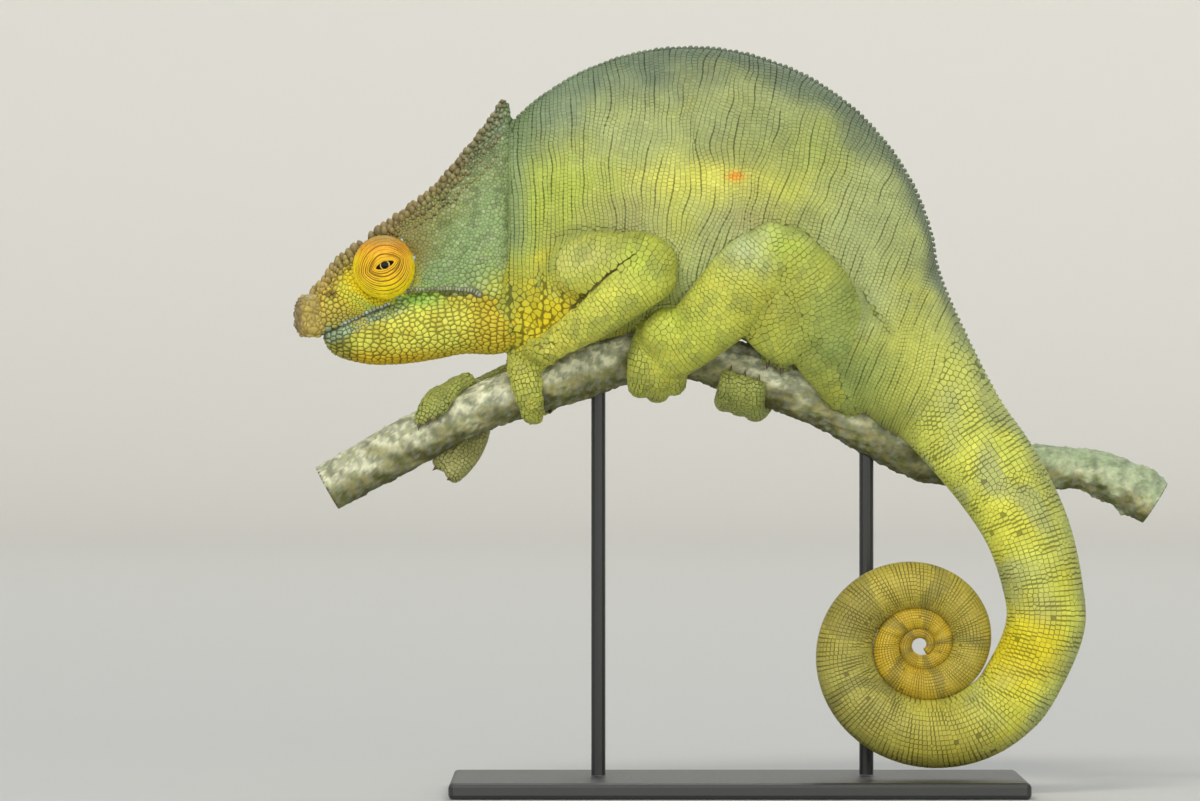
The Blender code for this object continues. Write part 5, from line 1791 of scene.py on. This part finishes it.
def branchPiece():
    rings, sides = branch["rings"], branch["sides"]
    line = branchLine(np.linspace(0, len(branch["rows"]) - 1, rings))
    heading = unit(np.gradient(line[:, :3], axis=0))
    up = unit(np.array([0.0, 0.0, 1.0]) - heading * heading[:, 2:])
    left = np.cross(up, heading)
    turn = turnsRound(sides)
    way = np.cos(turn)[None, :, None] * up[:, None] + np.sin(turn)[None, :, None] * left[:, None]
    smooth = line[:, None, :3] + way * line[:, None, 3:4]
    flat = smooth.reshape(-1, 3)
    # bark: long shallow furrows, crumbling blotches, and a few warts towards the rear end
    furrow = drift(flat * (0.3, 1, 1), 4.0, 71) * 0.18 + drift(flat * (0.6, 1, 1), 1.9, 72) * 0.13
    crumble = np.clip(drift(flat, 7, 73), 0, 1) * (0.35 + 0.3 * drift(flat, 2.2, 80))
    push = furrow + (crumble + drift(flat, 1.2, 74) * 0.09) - 0.4
    spots = np.random.default_rng(75)
    lichen = np.zeros(len(flat))
    for _ in range(branch["warts"]):
        first, last = (8, rings - 8) if spots.uniform() < 0.5 else (int(rings * 0.82), rings - 6)
        middle = smooth[spots.integers(first, last), spots.integers(0, sides)]
        size = spots.uniform(0.9, 2.6)
        lump = bell(np.linalg.norm(flat - middle, axis=1), size)
        push = push + lump * size * 0.3
        lichen = np.maximum(lichen, lump)
    # the bark is cut back to the wood at both ends
    fromEnd = np.minimum(np.arange(rings), np.arange(rings)[::-1]) * 0.75
    crest = np.repeat(ramp(0, 3, fromEnd), sides)
    push = push * crest - 0.3 * (1 - crest)
    grid = (flat + way.reshape(-1, 3) * push[:, None]).reshape(rings, sides, 3)
    tones = barkTones(flat, np.tile(np.cos(turn), rings), lichen)
    # the bark is painted darker where it sinks into its furrows, as shade
    tones = tones * (1 - 0.3 * np.clip(-push - 0.35, 0, 0.6) / 0.6)[:, None]
    discs, colours = zip(*(sawnEnd(grid[end], heading[end], out) for end, out in ((0, -1), (rings - 1, 1))))
    firsts = [len(flat), len(flat) + len(discs[0])]
    ends = [gridFaces(branch["endRings"], sides, first) for first in firsts]
    caps = [(first + np.arange(len(discs[0]))[-sides:])[None] for first in firsts]
    faces = (gridFaces(rings, sides), *ends, *caps)
    mesh = makeMesh("branch", np.vstack([grid.reshape(-1, 3), *discs]), faces)
    paint(mesh, np.clip(np.vstack([tones, *colours]), 0, 1))
    outwards(mesh, branch["merge"])
    placePiece("branch", mesh, barkFinish(), "bark", "perch")


branchPiece()
print("branch made")


# the stand keeps its solids and gets its finish
def powderCoat():
    # mild steel, powder-coated satin black: an even fine orange-peel from the baked powder
    material, tree, principled = newMaterial("powder_coated_steel", Base_Color=rgba("#2b2c2d"), IOR=1.5)
    roughen(tree, principled, objectPlace(tree), 1.3, 2.0, 0.5, (0.36, 0.5), 0.25, 0.05)
    return material


steel = powderCoat()
for node in ("stand_base", "stand_rod_front", "stand_rod_rear"):
    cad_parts[node].data.materials.clear()
    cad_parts[node].data.materials.append(steel)


# the studio: a pale floor that rises all round into a wall, soft suns and a large front lamp
studio = dict(
    flat=6000, bend=3000, wall=3000, sides=96, steps=(300, 1500, 3000, 4500),
    cameraX=-50.4, cameraZ=143.8, distance=3200, width=440, lightsAimAt=(-20, 0, 150),
)


def floorPiece():
    # a shallow dish: flat, then a quarter circle up to a wall
    flat, bend, sides = studio["flat"], studio["bend"], studio["sides"]
    angle = np.linspace(0, math.pi / 2, 24)
    radius = np.concatenate([studio["steps"], flat + bend * np.sin(angle), [flat + bend]])
    rise = bend * (1 - np.cos(angle))
    height = np.concatenate([[0] * len(studio["steps"]), rise, [bend + studio["wall"]]])
    turn = turnsRound(sides)
    grid = np.stack([
        radius[:, None] * np.cos(turn), radius[:, None] * np.sin(turn), height[:, None] * np.ones(sides),
    ], axis=-1)
    points = np.vstack([grid.reshape(-1, 3), [[0, 0, 0]]])
    side = np.arange(sides)
    fan = np.stack([(side + 1) % sides, side, np.full(sides, len(points) - 1)], axis=1)
    mesh = makeMesh("studio_floor", points, (gridFaces(len(radius), sides), fan))
    paper = newMaterial(
        "matt_paper_sweep", Base_Color=rgba("#cdcdca"), Roughness=0.95, Specular_IOR_Level=0.1
    )[0]
    mesh.materials.append(paper)
    floor = bpy.data.objects.new("studio_floor", mesh)
    bpy.context.scene.collection.objects.link(floor)


def lamp(kind, name, energy, at, colour, **settings):
    light = bpy.data.lights.new(name, kind)
    light.energy = energy
    light.color = fromHex(colour)
    for key, value in settings.items():
        setattr(light, key, value)
    obj = bpy.data.objects.new(name, light)
    bpy.context.scene.collection.objects.link(obj)
    obj.location = Vector(at) * mm
    obj.rotation_euler = (Vector(studio["lightsAimAt"]) - Vector(at)).to_track_quat("-Z", "Y").to_euler()


def studioLights():
    lamp("SUN", "key_sun", 2.5, (-800, -2000, 1500), "#fffaf0", angle=math.radians(24))
    lamp("SUN", "back_sun", 0.9, (500, 1300, 1800), "#f4f8ff", angle=math.radians(30))
    lamp("AREA", "low_fill", 26, (100, -1700, 160), "#fffdf4", size=1.8)
    world = bpy.data.worlds.new("studio_air")
    world.use_nodes = True
    world.node_tree.nodes["Background"].inputs["Color"].default_value = rgba("#eef1f2")
    world.node_tree.nodes["Background"].inputs["Strength"].default_value = 0.5
    bpy.context.scene.world = world


def studioCamera():
    camera = bpy.data.cameras.new("camera")
    camera.sensor_width = 36
    camera.lens = camera.sensor_width * studio["distance"] / studio["width"]
    camera.clip_end = 40
    obj = bpy.data.objects.new("camera", camera)
    bpy.context.scene.collection.objects.link(obj)
    obj.location = Vector((studio["cameraX"], -studio["distance"], studio["cameraZ"])) * mm
    obj.rotation_euler = (math.pi / 2, 0, 0)
    bpy.context.scene.camera = obj


floorPiece()
studioLights()
studioCamera()
bpy.context.scene.view_settings.view_transform = "Standard"
print("studio made")
